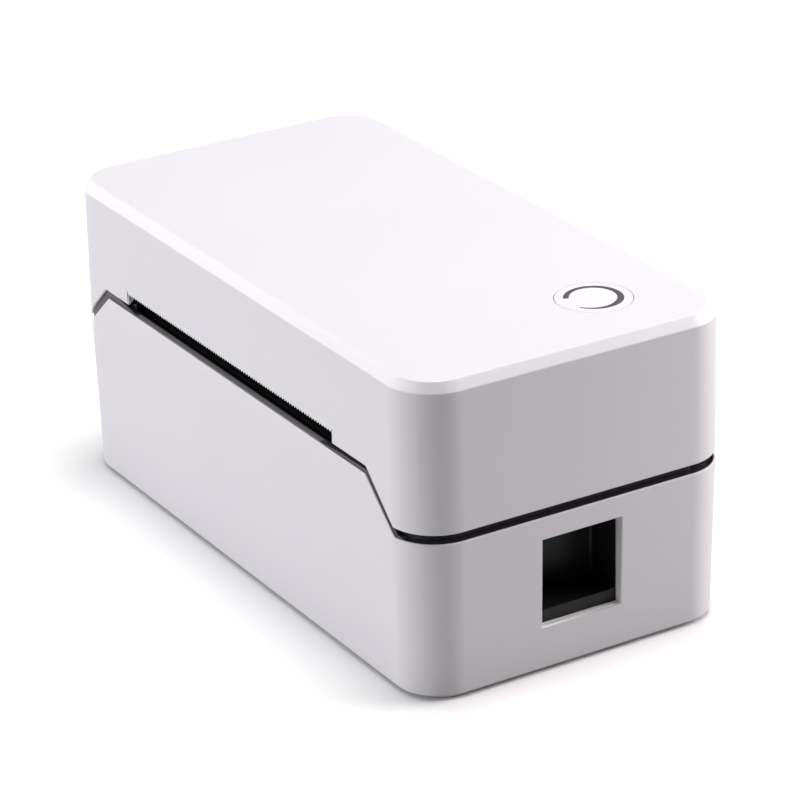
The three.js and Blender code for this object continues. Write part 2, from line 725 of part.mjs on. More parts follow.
function lidShell() {
  const walls = cut(outsideSolid(), inside(WALL, -1, HEIGHT - WALL), belowSeam("lid"));
  const notch = block([MEDIA.left, MEDIA.right], [-60, -44], [50, MEDIA.top]);
  const buttonHole = alongZ(disc(BUTTON.radius + FIT_GAP, BUTTON.x, BUTTON.y), 80, 100, 18);
  const bosses = lidScrewPlaces().map(([x, y]) => cut(
    alongZ(disc(3.4, x, y), 69.6, HEIGHT - 1, 8),
    alongZ(disc(1.4, x, y), 60, 80, 6),
  ));
  const boardPosts = buttonBoardHoles().map(([x, y]) => alongZ(disc(1.6, x, y), 81.9, HEIGHT - 1, 6));
  return join(cut(walls, notch, buttonHole), ...bosses, ...boardPosts);
}

function lidLiner() {
  const plate = inside(WALL + FIT_GAP, LINER.z0, LINER.z1);
  const skirtZone = join(
    block([-LENGTH, LENGTH], [-44, LENGTH], [LINER.skirtZ, LENGTH]),
    block([-LENGTH, LENGTH], [44.5, LENGTH], [LINER.rearSkirtZ, LENGTH]),
  );
  const skirt = cut(inside(WALL + FIT_GAP, 40, LINER.z1), inside(4.5, 20, 90)).intersect(skirtZone);
  const apron = block([-66, 58], [-46.8, -45.2], [62.4, LINER.z1]);
  const headOpening = block([-64.2, 56.2], [-60, -21.5], [50, 80]);
  const bracketWell = block([68.5, 87], [42, 60], [40, 57.5]);
  const screwHoles = lidScrewPlaces().map(([x, y]) => alongZ(disc(1.4, x, y), 60, 80, 6));
  const web = outline([[44.4, 54], [48.7, 54], [48.7, 68], [44.4, 68]]);
  const knuckle = join(
    alongX(web, ...HINGE_KNUCKLE),
    alongX(disc(HINGE.boss, HINGE.y, HINGE.z), ...HINGE_KNUCKLE),
  );
  const catchLedge = alongY(outline([[86, 54.8], [96, 54.8], [96, 59], [90, 57], [86, 57]]), -8, 8);
  const pinHole = alongX(disc(HINGE.pinRadius + 0.15, HINGE.y, HINGE.z), -LENGTH, LENGTH);
  const panel = cut(join(plate, skirt), headOpening, bracketWell, mirrored(bracketWell), ...screwHoles);
  return cut(join(panel, apron, knuckle, mirrored(knuckle), catchLedge, mirrored(catchLedge)), pinHole);
}

function hingePin() {
  return alongX(disc(HINGE.pinRadius, HINGE.y, HINGE.z), HINGE_LUGS[0][0] - 0.6, HINGE_LUGS[1][1] + 0.6);
}

/** A strip behind the front wall, folded under the exit slot's top edge, its teeth hanging in front. */
function tearBar() {
  const x0 = MEDIA.left + 0.5;
  const x1 = MEDIA.right - 0.5;
  const { front, top, fold, root, tip, teeth } = TEAR;
  const strip = block([x0, x1], [-48.6, -48], [root, 73]);
  const flange = block([x0, x1], [front, -48], [root, fold]);
  const pitch = (x1 - x0) / teeth;
  const points = [[x1, top], [x0, top], [x0, root]];
  for (let tooth = 0; tooth < teeth; tooth++) {
    points.push([x0 + (tooth + 0.5) * pitch, tip]);
    points.push([x0 + (tooth + 1) * pitch, root]);
  }
  return join(strip, flange, alongY(outline(points), front, front + 0.6));
}

function headBracket() {
  const hat = outline([
    [-71, 69.6],
    [-62.5, 69.6],
    [-62.5, 76.9],
    [54.5, 76.9],
    [54.5, 69.6],
    [63, 69.6],
    [63, 71.1],
    [56, 71.1],
    [56, 78.4],
    [-64, 78.4],
    [-64, 71.1],
    [-71, 71.1],
  ]);
  return alongY(hat, -41, -26);
}

function headSpring(x) {
  return coilSpring(3.2, 0.8, 1.85, 4.6).translate([x, (HEAD.y0 + HEAD.y1) / 2, HEAD.z1 + 0.7]);
}

/** The printhead's finned aluminium carrier. */
function headHeatsink() {
  const fins = 5;
  const pitch = (HEAD.y1 - HEAD.y0) / fins;
  const grooves = Array.from({ length: fins - 1 }, (_, index) => {
    const y = HEAD.y0 + (index + 1) * pitch;
    return block([HEAD.x0 - 1, HEAD.x1 + 1], [y - 1, y + 1], [HEAD.z1 - 2, HEAD.z1 + 1]);
  });
  const pads = headSpringPlaces().map((x) => block([x - 5, x + 5], [-38.5, -28.5], [HEAD.z0 + 2, HEAD.z1]));
  return join(cut(block([HEAD.x0, HEAD.x1], [HEAD.y0, HEAD.y1], [HEAD.z0, HEAD.z1]), ...grooves), ...pads);
}

function headSpringPlaces() {
  return [MEDIA_CENTRE_X - 38, MEDIA_CENTRE_X + 38];
}

/** The glazed ceramic strip that carries the heater line, just above the roller. */
function headCeramic() {
  const section = outline([
    [-40, 61.7],
    [-40, 61],
    [-34.5, 60.9],
    [PLATEN.y, 60.5],
    [-31.5, 60.9],
    [-26, 61],
    [-26, 61.7],
  ]);
  return alongX(section, HEAD.x0 + 1, HEAD.x1 - 1);
}

// ---------------------------------------------------------------- button

function buttonBoardHoles() {
  return [[60.6, 14], [60.6, 32], [83.8, 14], [83.8, 32]];
}

function buttonBoard() {
  return block([58.5, 86], [12, 33.6], [80, 81.6]);
}

function buttonSwitch() {
  const { x, y } = BUTTON;
  return join(block([x - 3, x + 3], [y - 3, y + 3], [81.9, 84]), alongZ(disc(1.7, x, y), 83.9, 84.9, 6));
}

/** The open ring on the cap, a stroke that thins to a point at its first end. */
function markOutline(growth) {
  const overrun = growth / MARK.radius;
  const first = THREE.MathUtils.degToRad(MARK.from) - overrun;
  const last = THREE.MathUtils.degToRad(MARK.to) + overrun;
  const steps = 24;
  const outer = [];
  const inner = [];
  for (let step = 0; step <= steps; step++) {
    const t = step / steps;
    const angle = first + (last - first) * t;
    const width = 1.5 * Math.min(1, 0.3 + 2.4 * t) * (1 + 0.16 * Math.sin(Math.PI * t));
    const place = (radius) => [BUTTON.x + radius * Math.cos(angle), BUTTON.y + radius * Math.sin(angle)];
    outer.push(place(MARK.radius + growth));
    inner.push(place(MARK.radius - width - growth));
  }
  return outline([...outer, ...inner.reverse()]);
}

function buttonCap() {
  const { x, y, radius } = BUTTON;
  const face = alongZ(disc(radius, x, y), 90, HEIGHT, 18);
  const flange = alongZ(disc(radius + 1.4, x, y), BUTTON.under, 90.3, 18);
  const hollow = alongZ(ringShape(radius - 1.6, 2.6, x, y), BUTTON.under - 1, 91.6, 8);
  const stem = alongZ(disc(2.6, x, y), 85.9, 90.3, 8);
  const groove = alongZ(markOutline(0.15), HEIGHT - 0.9, HEIGHT + 1);
  return cut(join(face, flange, stem), hollow, groove);
}

function buttonMark() {
  return alongZ(markOutline(0), HEIGHT - 0.7, HEIGHT);
}

// ---------------------------------------------------------------- assembly

const printer = new THREE.Group();

function add(name, shape, finish) {
  const geometry = shape instanceof THREE.BufferGeometry ? shape : toGeometry(shape);
  const material = new THREE.MeshStandardMaterial({ ...FINISHES[finish], flatShading: true });
  const mesh = new THREE.Mesh(geometry, material);
  mesh.name = name;
  printer.add(mesh);
}

/** Adds a piece and its mirror image as the right and left ones of a pair. */
function addPair(name, solid, finish) {
  add(`${name}_right`, solid, finish);
  add(`${name}_left`, mirrored(solid), finish);
}

add("base_shell", baseShell(), "whiteCase");
add("chassis_frame", chassisFrame(), "blackPlastic");
add("bottom_plate", bottomPlate(), "greyPlastic");
for (const [end, sideX] of [["left", -1], ["right", 1]]) {
  for (const [row, sideY] of [["front", -1], ["rear", 1]]) {
    const post = [sideX * SCREW_POST.x, sideY * SCREW_POST.y];
    add(`foot_${row}_${end}`, foot(sideX * FOOT.x, sideY * FOOT.y), "footRubber");
    add(`case_screw_${row}_${end}`, screw(...post, 1.7, 2.7, 1.3, 12), "zinc");
  }
}

add("paper_bed", paperBed(), "blackPlastic");
add("exit_guide", exitGuide(), "blackPlastic");
add("cheek_right", cheekRight(), "zinc");
add("cheek_left", cheekLeft(), "zinc");
add("platen_bush_right", platenBush(CHEEK_RIGHT), "acetal");
add("platen_bush_left", platenBush(CHEEK_LEFT), "acetal");
add("motor_body", motorBody(), "zinc");
add("idler_axle", idlerAxle(), "steel");
add("main_board", mainBoard(), "circuitBoard");
add("rear_panel", rearPanel(), "blackPlastic");
add("dc_inlet", dcInlet(), "blackPlastic");
add("usb_port", usbPort(), "steel");
add("switch_housing", switchHousing(), "blackPlastic");
add("gap_sensor", block([-22, -16], [-9, -5], [45, BED.top - 0.2]), "greyPlastic");
addPair("recess_liner", recessLiner(), "blackPlastic");
addPair("latch_pin", latchPin(), "steel");
addPair("latch_spring", latchSpring(), "steel");
addPair("hinge_pin", hingePin(), "steel");

add("lid_shell", lidShell(), "whiteCase");
add("lid_liner", lidLiner(), "blackPlastic");
add("tear_bar", tearBar(), "whiteCase");
add("head_bracket", headBracket(), "zinc");
headSpringPlaces().forEach((x, index) => add(`head_spring_${index + 1}`, headSpring(x), "steel"));
lidScrewPlaces().forEach(([x, y], index) => {
  add(`lid_screw_${index + 1}`, screw(x, y, 65.1, 2.2, 1.1, 10), "zinc");
});
add("button_board", buttonBoard(), "circuitBoard");
add("button_switch", buttonSwitch(), "blackPlastic");

add("button_cap", buttonCap(), "whiteCase");
add("button_mark", buttonMark(), "markGrey");
add("head_heatsink", headHeatsink(), "aluminium");
add("head_ceramic", headCeramic(), "ceramic");
add("platen_shaft", platenShaft(), "steel");
add("platen_roller", platenRoller(), "rollerRubber");
add("platen_gear", platenGear(), "acetal");
add("idler_gear", idlerGear(), "acetal");
add("motor_pinion", motorPinion(), "steel");
add("guide_right", mediaGuide(1), "greyPlastic");
add("guide_left", mediaGuide(-1), "greyPlastic");
add("guide_pinion", guidePinion(), "acetal");
addPair("latch_lever", latchLever(), "greyPlastic");
add("switch_rocker", switchRocker(), "blackPlastic");

export default printer;
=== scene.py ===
"""A thermal label printer: the visual model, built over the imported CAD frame.

Sizes are in millimetres in this script and become metres when a mesh is made. The printer stands on
z = 0 with its long side along X, the button towards +X and the label exit towards -Y.
"""

import math

import bmesh
import bpy
from mathutils import Matrix, Vector
from mathutils.geometry import tessellate_polygon


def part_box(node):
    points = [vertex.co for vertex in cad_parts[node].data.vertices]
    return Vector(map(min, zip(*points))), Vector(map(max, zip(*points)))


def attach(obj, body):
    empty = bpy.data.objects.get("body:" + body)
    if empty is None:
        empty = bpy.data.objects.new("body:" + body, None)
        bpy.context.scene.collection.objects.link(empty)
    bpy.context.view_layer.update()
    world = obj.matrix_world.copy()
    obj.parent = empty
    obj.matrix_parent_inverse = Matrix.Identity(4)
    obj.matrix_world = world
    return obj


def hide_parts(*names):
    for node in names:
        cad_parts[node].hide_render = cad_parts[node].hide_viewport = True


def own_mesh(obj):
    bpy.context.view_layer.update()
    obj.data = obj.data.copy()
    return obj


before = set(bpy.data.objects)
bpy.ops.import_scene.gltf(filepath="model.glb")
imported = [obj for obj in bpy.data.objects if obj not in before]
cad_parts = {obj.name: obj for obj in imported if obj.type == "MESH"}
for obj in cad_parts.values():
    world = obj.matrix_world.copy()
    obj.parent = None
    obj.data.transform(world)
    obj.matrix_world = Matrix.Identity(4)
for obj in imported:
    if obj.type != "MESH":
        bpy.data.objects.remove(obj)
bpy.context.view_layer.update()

MM = 0.001
X, Z = Vector((1, 0, 0)), Vector((0, 0, 1))


def box_mm(node):
    """The lowest and highest corners of a CAD node, in millimetres."""
    low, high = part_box(node)
    return low / MM, high / MM


def centre_mm(node):
    low, high = box_mm(node)
    return (low + high) / 2


# ---------------------------------------------------------------- places taken from the frame

BASE_LOW, BASE_HIGH = box_mm("base_shell")
LID_LOW, LID_HIGH = box_mm("lid_shell")
REAR_LOW, REAR_HIGH = box_mm("rear_panel")
TEAR_LOW, TEAR_HIGH = box_mm("tear_bar")
CAP_LOW, CAP_HIGH = box_mm("button_cap")
BUTTON = (CAP_LOW + CAP_HIGH) / 2
PLATEN_AXIS = centre_mm("platen_shaft")
MOTOR_AXIS = centre_mm("motor_pinion")
IDLER_AXIS = centre_mm("idler_axle")


# ---------------------------------------------------------------- sizes

LENGTH = 200.0
DEPTH = 103.3
HEIGHT = LID_HIGH.z
SHELL_BOTTOM = BASE_LOW.z
CORNER_RADIUS = 14.4
WALL = 2.4
FIT_GAP = 0.3
WIDEST_Z = 48.6
BASE_DRAFT = math.tan(math.radians(1.35))
LID_DRAFT = math.tan(math.radians(0.46))
TOP_BEVEL_INSET = 1.9
TOP_BEVEL_DROP = 3.0
BOTTOM_BEVEL = 0.7

# The seam's two edges: heights on the sides and the raised front, and x where each slope ends.
SEAM_BASE = {
    "side": 47.3, "front": BASE_HIGH.z, "left": -77.1, "right": 72.9, "foot_left": -91.5, "foot_right": 87.6,
}
SEAM_LID = {
    "side": LID_LOW.z, "front": 62.7, "left": -78.4, "right": 73.4, "foot_left": -92.2, "foot_right": 87.0,
}
SEAM_CORNER = 0.5
LIP = 0.55
RIM_HEIGHT = 2.3
LID_EDGE = 0.5
BASE_EDGE = 0.46

# Heights at which the walls have a row of points between their edges.
BASE_LOW_ROW, BASE_ROW, LID_ROW, LID_HIGH_ROW = 30, 40, 72, 80

SLOT_LEFT = TEAR_LOW.x - 0.5
SLOT_RIGHT = TEAR_HIGH.x + 0.5
SLOT_TOP = 66.8
TEETH = 87
FEED_BOTTOM = 41.3
WINDOW_LOW, WINDOW_HIGH = (-12.3, 13.9), (13.5, 40.6)

BUTTON_RADIUS = 10.9
BUTTON_GAP = 0.18
MARK_RADIUS = 8.35
MARK_FROM, MARK_TO = math.radians(-61), math.radians(240)

MODULE = 0.8
TEETH_MOTOR, TEETH_IDLER_LARGE, TEETH_IDLER_SMALL, TEETH_PLATEN = 12, 32, 12, 20


# ---------------------------------------------------------------- meshes

def linked(name, data):
    """A new object in the scene."""
    obj = bpy.data.objects.new(name, data)
    bpy.context.scene.collection.objects.link(obj)
    return obj


def new_object(name, bm):
    """A linked object from a bmesh in millimetres, with its faces turned outwards."""
    bmesh.ops.remove_doubles(bm, verts=bm.verts, dist=1e-4)
    bmesh.ops.recalc_face_normals(bm, faces=bm.faces)
    bm.transform(Matrix.Scale(MM, 4))
    mesh = bpy.data.meshes.new(name)
    bm.to_mesh(mesh)
    bm.free()
    mesh.shade_smooth()
    return linked(name, mesh)


def grid(bm, rows, closed=True):
    """Faces between rows of the same number of points. Each row closes on itself if closed."""
    verts = [[bm.verts.new(point) for point in row] for row in rows]
    count = len(rows[0])
    for upper, lower in zip(verts, verts[1:]):
        for i in range(count if closed else count - 1):
            j = (i + 1) % count
            bm.faces.new((upper[i], lower[i], lower[j], upper[j]))
    return verts


def loop_edges(bm, ring):
    """The edges that join the vertices of a closed ring, made where they don't exist."""
    edges = []
    for a, b in zip(ring, ring[1:] + ring[:1]):
        edges.append(bm.edges.get((a, b)) or bm.edges.new((a, b)))
    return edges


def patch(bm, *rings):
    """Fills the flat area between an outer ring of vertices and the rings of its holes."""
    edges = [edge for ring in rings for edge in loop_edges(bm, ring)]
    bmesh.ops.triangle_fill(bm, use_beauty=True, use_dissolve=False, edges=edges)


def circle(radius, count, centre=(0, 0)):
    steps = [2 * math.pi * i / count for i in range(count)]
    return [(centre[0] + radius * math.cos(t), centre[1] + radius * math.sin(t)) for t in steps]


def quarter(steps):
    """Angles over a quarter turn."""
    return [math.radians(90 * step / steps) for step in range(steps + 1)]


def placed(axis, along, u, v):
    """A point at a place along an axis, with its two other coordinates in cyclic order."""
    return {"X": (along, u, v), "Y": (v, along, u), "Z": (u, v, along)}[axis]


def add_prism(bm, axis, outline, low, high, holes=()):
    """A flat outline with holes, drawn across an axis and extruded along it. Y takes (z, x)."""
    loops = [list(outline)] + [list(hole) for hole in holes]
    flat = [point for loop in loops for point in loop]
    bottom = [bm.verts.new(placed(axis, low, *point)) for point in flat]
    top = [bm.verts.new(placed(axis, high, *point)) for point in flat]
    for a, b, c in tessellate_polygon([[Vector((u, v, 0)) for u, v in loop] for loop in loops]):
        bm.faces.new((bottom[a], bottom[b], bottom[c]))
        bm.faces.new((top[c], top[b], top[a]))
    start = 0
    for loop in loops:
        count = len(loop)
        for i in range(count):
            a, b = start + i, start + (i + 1) % count
            bm.faces.new((bottom[a], top[a], top[b], bottom[b]))
        start += count


def prism(name, axis, outline, low, high, holes=()):
    bm = bmesh.new()
    add_prism(bm, axis, outline, low, high, holes)
    merge_flat(bm)
    return new_object(name, bm)


def merge_flat(bm):
    """Joins flat neighbouring triangles into larger faces."""
    bmesh.ops.recalc_face_normals(bm, faces=bm.faces)
    bmesh.ops.dissolve_limit(bm, angle_limit=math.radians(0.5), verts=bm.verts, edges=bm.edges)


def add_box(bm, low, high):
    outline = [(low[0], low[1]), (high[0], low[1]), (high[0], high[1]), (low[0], high[1])]
    add_prism(bm, "Z", outline, low[2], high[2])


def add_pad(bm, x, y, half_x, half_y, low, high):
    """A box about an upright axis, so far each way across and from one height to another."""
    add_box(bm, (x - half_x, y - half_y, low), (x + half_x, y + half_y, high))


def block(name, low, high):
    bm = bmesh.new()
    add_box(bm, low, high)
    merge_flat(bm)
    return new_object(name, bm)


def add_lathe(bm, axis, centre, profile, count=64):
    """Turns (radius, height) points about an axis through a centre. A closed profile makes a ring."""
    base = Vector(centre)
    rows = []
    for radius, height in profile:
        rows.append([base + Vector(placed(axis, height, u, v)) for u, v in circle(max(radius, 0), count)])
    verts = grid(bm, rows)
    for ring, (radius, _) in ((verts[0], profile[0]), (verts[-1], profile[-1])):
        if radius > 1e-6 and profile[0] != profile[-1]:
            bm.faces.new(ring)


def lathe(name, axis, centre, profile, count=64):
    bm = bmesh.new()
    add_lathe(bm, axis, centre, profile, count)
    return new_object(name, bm)


def rounded_rect(low, high, radius, steps=6):
    """The outline of a rectangle with round corners, from its lowest and highest corners."""
    right, left, far, near = high[0] - radius, low[0] + radius, high[1] - radius, low[1] + radius
    points = []
    for x, y, start in ((right, far, 0), (left, far, 90), (left, near, 180), (right, near, 270)):
        for i in range(steps + 1):
            angle = math.radians(start + 90 * i / steps)
            points.append((x + radius * math.cos(angle), y + radius * math.sin(angle)))
    return points


def apply_modifiers(obj):
    """Replaces an object's mesh by what its modifiers make of it."""
    graph = bpy.context.evaluated_depsgraph_get()
    mesh = bpy.data.meshes.new_from_object(obj.evaluated_get(graph))
    obj.modifiers.clear()
    old = obj.data
    obj.data = mesh
    bpy.data.meshes.remove(old)


def combine(obj, operation, *others):
    """Joins (UNION) or cuts (DIFFERENCE) an object with others, which are used up."""
    for other in others:
        modifier = obj.modifiers.new("combine", "BOOLEAN")
        modifier.operation = operation
        modifier.solver = "EXACT"
        modifier.object = other
    bpy.context.view_layer.update()
    apply_modifiers(obj)
    for other in others:
        bpy.data.objects.remove(other)
    bm = bmesh.new()
    bm.from_mesh(obj.data)
    bmesh.ops.remove_doubles(bm, verts=bm.verts, dist=2e-6)
    bmesh.ops.dissolve_limit(bm, angle_limit=math.radians(0.5), verts=bm.verts, edges=bm.edges)
    bm.to_mesh(obj.data)
    bm.free()
    obj.data.shade_smooth()
    return obj


def soften(obj, width=0.25, segments=3, angle=30):
    """Rounds the edges of a piece and shades it so that its flat faces stay flat."""
    if width:
        bevel = obj.modifiers.new("edges", "BEVEL")
        bevel.width = width * MM
        bevel.segments = segments
        bevel.limit_method = "ANGLE"
        bevel.angle_limit = math.radians(angle)
        bevel.use_clamp_overlap = True
    normals = obj.modifiers.new("normals", "WEIGHTED_NORMAL")
    normals.mode = "FACE_AREA_WITH_ANGLE"
    normals.weight = 80
    normals.keep_sharp = True
    return obj


def fit(obj, body, material, *nodes):
    """Gives a piece its material, hangs it on its body and hides the CAD nodes that it stands in for."""
    obj.data.materials.clear()
    obj.data.materials.append(material)
    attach(obj, body)
    if nodes:
        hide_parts(*nodes)
    return obj


# ---------------------------------------------------------------- materials

DUST_SPACING, DUST_COLOUR = 2.6, (0.62, 0.61, 0.6)


def noise(tree, place, size, detail, roughness=0.5):
    """Cloudy noise with features of a size in millimetres."""
    texture = tree.nodes.new("ShaderNodeTexNoise")
    texture.inputs["Scale"].default_value = 1 / (size * MM)
    texture.inputs["Detail"].default_value = detail
    texture.inputs["Roughness"].default_value = roughness
    tree.links.new(place, texture.inputs["Vector"])
    return texture.outputs["Fac"]


def ranged(tree, value, low, high, start=0.0, end=1.0):
    """A number that goes from low to high while a value goes from start to end."""
    node = tree.nodes.new("ShaderNodeMapRange")
    for name, number in (("From Min", start), ("From Max", end), ("To Min", low), ("To Max", high)):
        node.inputs[name].default_value = number
    tree.links.new(value, node.inputs["Value"])
    return node.outputs["Result"]


def mixed(tree, factor, first, second):
    """A blend of a colour, or another node's output, with a second colour."""
    node = tree.nodes.new("ShaderNodeMix")
    node.data_type = "RGBA"
    tree.links.new(factor, node.inputs["Factor"])
    if isinstance(first, bpy.types.NodeSocket):
        tree.links.new(first, node.inputs["A"])
    else:
        node.inputs["A"].default_value = (*first, 1)
    node.inputs["B"].default_value = (*second, 1)
    return node.outputs["Result"]


def surface(
    name, colour, roughness, grain, mottle, edge_highlight,
    metallic=0.0, dust=0.0, swing=0.06, coat=0.0, brushed=None, specular=0.5,
):
    """A moulded, cast or ground surface: its grain as bump, cloudy colour, uneven gloss and a painted
    highlight that lightens its edges.

    grain is the size of the bumps in millimetres and their height, mottle the size of the colour's
    clouds and their strength, and brushed an axis along which the grain is drawn out.
    """
    material = bpy.data.materials.new(name)
    material.use_nodes = True
    tree = material.node_tree
    nodes, links = tree.nodes, tree.links
    shader = nodes["Principled BSDF"]
    shader.inputs["Metallic"].default_value = metallic
    shader.inputs["Coat Weight"].default_value = coat
    shader.inputs["Specular IOR Level"].default_value = specular
    place = nodes.new("ShaderNodeTexCoord").outputs["Object"]
    clouds = noise(tree, place, mottle[0], 4)
    darker = [channel * (1 - mottle[1]) for channel in colour]
    lighter = [min(1, channel * (1 + mottle[1])) for channel in colour]
    tint = mixed(tree, clouds, darker, lighter)

    # Painted highlight: the colour is lightened on sharp, outstanding edges, as found by pointiness.
    pointed = nodes.new("ShaderNodeNewGeometry").outputs["Pointiness"]
    highlight_tint = [min(1, channel * 1.35 + 0.03) for channel in colour]
    tint = mixed(tree, ranged(tree, pointed, 0, edge_highlight, 0.52, 0.62), tint, highlight_tint)
    if dust:
        specks = nodes.new("ShaderNodeTexVoronoi")
        specks.inputs["Scale"].default_value = 1 / (DUST_SPACING * MM)
        links.new(place, specks.inputs["Vector"])
        near = ranged(tree, specks.outputs["Distance"], dust, 0, 0.05, 0.12)
        tint = mixed(tree, near, tint, DUST_COLOUR)
    links.new(tint, shader.inputs["Base Color"])

    gloss = ranged(tree, clouds, max(0.02, roughness - swing), roughness + swing)
    links.new(gloss, shader.inputs["Roughness"])

    if brushed:
        squeeze = nodes.new("ShaderNodeVectorMath")
        squeeze.operation = "MULTIPLY"
        squeeze.inputs[1].default_value = [0.03 if axis == brushed else 1.0 for axis in "XYZ"]
        links.new(place, squeeze.inputs[0])
        place = squeeze.outputs[0]
    bump = nodes.new("ShaderNodeBump")
    bump.inputs["Strength"].default_value = 1.0
    bump.inputs["Distance"].default_value = grain[1] * MM
    links.new(noise(tree, place, grain[0], 3, 0.6), bump.inputs["Height"])
    links.new(bump.outputs["Normal"], shader.inputs["Normal"])
    return material


# The last number of each finish here is how strongly its edges get the painted highlight.
WHITE = surface("white_case", (0.80, 0.79, 0.828), 0.42, (0.5, 0.012), (60, 0.008), 0.9)
BLACK = surface("black_plastic", (0.012, 0.012, 0.013), 0.5, (0.4, 0.03), (12, 0.15), 0.25, dust=0.03)
GREY = surface("grey_plastic", (0.065, 0.066, 0.07), 0.5, (0.4, 0.03), (15, 0.1), 0.2, dust=0.02)
# Painted light: the front strip is drawn grey, lighter than the dark rim plastic, for the light the front
# ledge catches.
STRIP_PAINTED_LIGHT = surface(
    "strip_painted_light", (0.115, 0.1, 0.11), 0.4, (0.4, 0.02), (15, 0.08), 0.15
)
# Painted light: a lighter copy of the strip's grey, which makes up for the lid's shade over the strip in
# front of the slot.
LEDGE_PAINTED_LIGHT = surface("ledge_painted_light", (0.43, 0.395, 0.42), 0.4, (0.4, 0.02), (15, 0.08), 0.15)
RIM_GREY = surface("rim_plastic", (0.03, 0.028, 0.033), 0.5, (0.4, 0.02), (15, 0.1), 0.1)
RECESS_BLACK = surface(
    "recess_plastic", (0.014, 0.015, 0.018), 0.34, (0.5, 0.02), (15, 0.1), 0.3,
    specular=0.33,
)
# Painted shade: a blacker, duller black than the black plastic, so the exit slot's inside reads as deep
# shade.
SHADE_BLACK = surface(
    "slot_shade_black", (0.006, 0.006, 0.007), 0.8, (0.4, 0.02), (12, 0.1), 0.0,
    specular=0.15,
)
STEEL = surface("bright_steel", (0.66, 0.67, 0.69), 0.22, (0.25, 0.01), (6, 0.06), 0.4, 1.0, brushed="X")
ZINC = surface("zinc_steel", (0.52, 0.53, 0.52), 0.38, (0.8, 0.02), (5, 0.12), 0.35, 1.0, swing=0.12)
ALUMINIUM = surface(
    "aluminium", (0.7, 0.71, 0.73), 0.34, (0.3, 0.02), (8, 0.06), 0.3, 1.0,
    brushed="X",
)
RUBBER = surface("roller_rubber", (0.02, 0.02, 0.021), 0.75, (0.25, 0.05), (6, 0.2), 0.1, dust=0.04)
FOOT_RUBBER = surface("foot_rubber", (0.035, 0.035, 0.036), 0.85, (0.3, 0.05), (4, 0.2), 0.1, dust=0.06)
ACETAL = surface("acetal", (0.75, 0.72, 0.63), 0.38, (0.5, 0.02), (8, 0.04), 0.2)
BOARD = surface("circuit_board", (0.014, 0.11, 0.045), 0.35, (1.2, 0.03), (7, 0.25), 0.2, coat=0.3)
CERAMIC = surface("glazed_ceramic", (0.024, 0.017, 0.014), 0.12, (0.3, 0.004), (5, 0.2), 0.1, coat=0.4)
BRASS = surface(
    "gold_contact", (0.75, 0.56, 0.25), 0.25, (0.3, 0.01), (3, 0.08), 0.3, 1.0
)
MARK = surface("mark_grey", (0.115, 0.111, 0.124), 0.35, (0.4, 0.01), (8, 0.08), 0.1)


# ---------------------------------------------------------------- the box's outer surface

HALF_X = LENGTH / 2 - CORNER_RADIUS
HALF_Y = DEPTH / 2 - CORNER_RADIUS
ARC = CORNER_RADIUS * math.pi / 2
GIRTH = 4 * (HALF_X + HALF_Y + ARC)


def draft_at(z):
    return (WIDEST_Z - z) * BASE_DRAFT if z < WIDEST_Z else (z - WIDEST_Z) * LID_DRAFT


def around(s):
    """The core point and outward direction at a distance s round the box, from its front's middle."""
    side = -1 if s < 0 else 1
    s = abs(s)
    if s < HALF_X:
        core, out = (s, -HALF_Y), (0, -1)
    elif s < HALF_X + ARC:
        turn = (s - HALF_X) / CORNER_RADIUS
        core, out = (HALF_X, -HALF_Y), (math.sin(turn), -math.cos(turn))
    elif s < HALF_X + ARC + 2 * HALF_Y:
        core, out = (HALF_X, s - HALF_X - ARC - HALF_Y), (1, 0)
    elif s < HALF_X + 2 * ARC + 2 * HALF_Y:
        turn = (s - HALF_X - ARC - 2 * HALF_Y) / CORNER_RADIUS
        core, out = (HALF_X, HALF_Y), (math.cos(turn), math.sin(turn))
    else:
        core, out = (2 * HALF_X + 2 * ARC + 2 * HALF_Y - s, HALF_Y), (0, 1)
    return (side * core[0], core[1]), (side * out[0], out[1])


def on_case(s, z, depth=0.0):
    """The point at a place round the box and a height, so far inside its outer surface."""
    core, out = around(s)
    reach = CORNER_RADIUS - draft_at(z) - depth
    return (core[0] + out[0] * reach, core[1] + out[1] * reach, z)


def front_station(x):
    """The distance round the box at which its front or front corner is at this x."""
    beyond = abs(x) - HALF_X
    if beyond <= 0:
        return x
    return math.copysign(HALF_X + CORNER_RADIUS * math.asin(beyond / CORNER_RADIUS), x)


CORNER_STEPS = 24


def stations():
    """The places round the box where its surface starts, keeps on or stops turning."""
    places = [i * 12.0 for i in range(-int(GIRTH / 24), int(GIRTH / 24) + 1)]
    for start in (HALF_X, HALF_X + ARC + 2 * HALF_Y):
        for step in range(CORNER_STEPS + 1):
            places += [start + ARC * step / CORNER_STEPS, -start - ARC * step / CORNER_STEPS]
    return sorted(places)


def rounded_path(points, radius, steps=5):
    """(s, z, normal) along a line of (s, z) points with its corners rounded, sampled at the stations.

    The normal points to the left of the direction of travel.
    """
    places = stations()
    path = []

    def straight(a, b):
        length = (b - a).length
        normal = Vector((-(b - a).y, (b - a).x)) / length
        path.append((a, normal))
        for place in places:
            if a.x + 0.05 < place < b.x - 0.05:
                path.append((a.lerp(b, (place - a.x) / (b.x - a.x)), normal))
        path.append((b, normal))

    corners = [Vector(point) for point in points]
    start = corners[0]
    for before, corner, after in zip(corners, corners[1:], corners[2:]):
        come, go = (corner - before).normalized(), (after - corner).normalized()
        turn = come.angle_signed(go)
        cut_back = radius * math.tan(abs(turn) / 2)
        first, last = corner - come * cut_back, corner + go * cut_back
        straight(start, first)
        for step in range(1, steps):
            share = step / steps
            a, b = first.lerp(corner, share), corner.lerp(last, share)
            tangent = (b - a).normalized()
            path.append((a.lerp(b, share), Vector((-tangent.y, tangent.x))))
        start = last
    straight(start, corners[-1])
    return path[:-1]


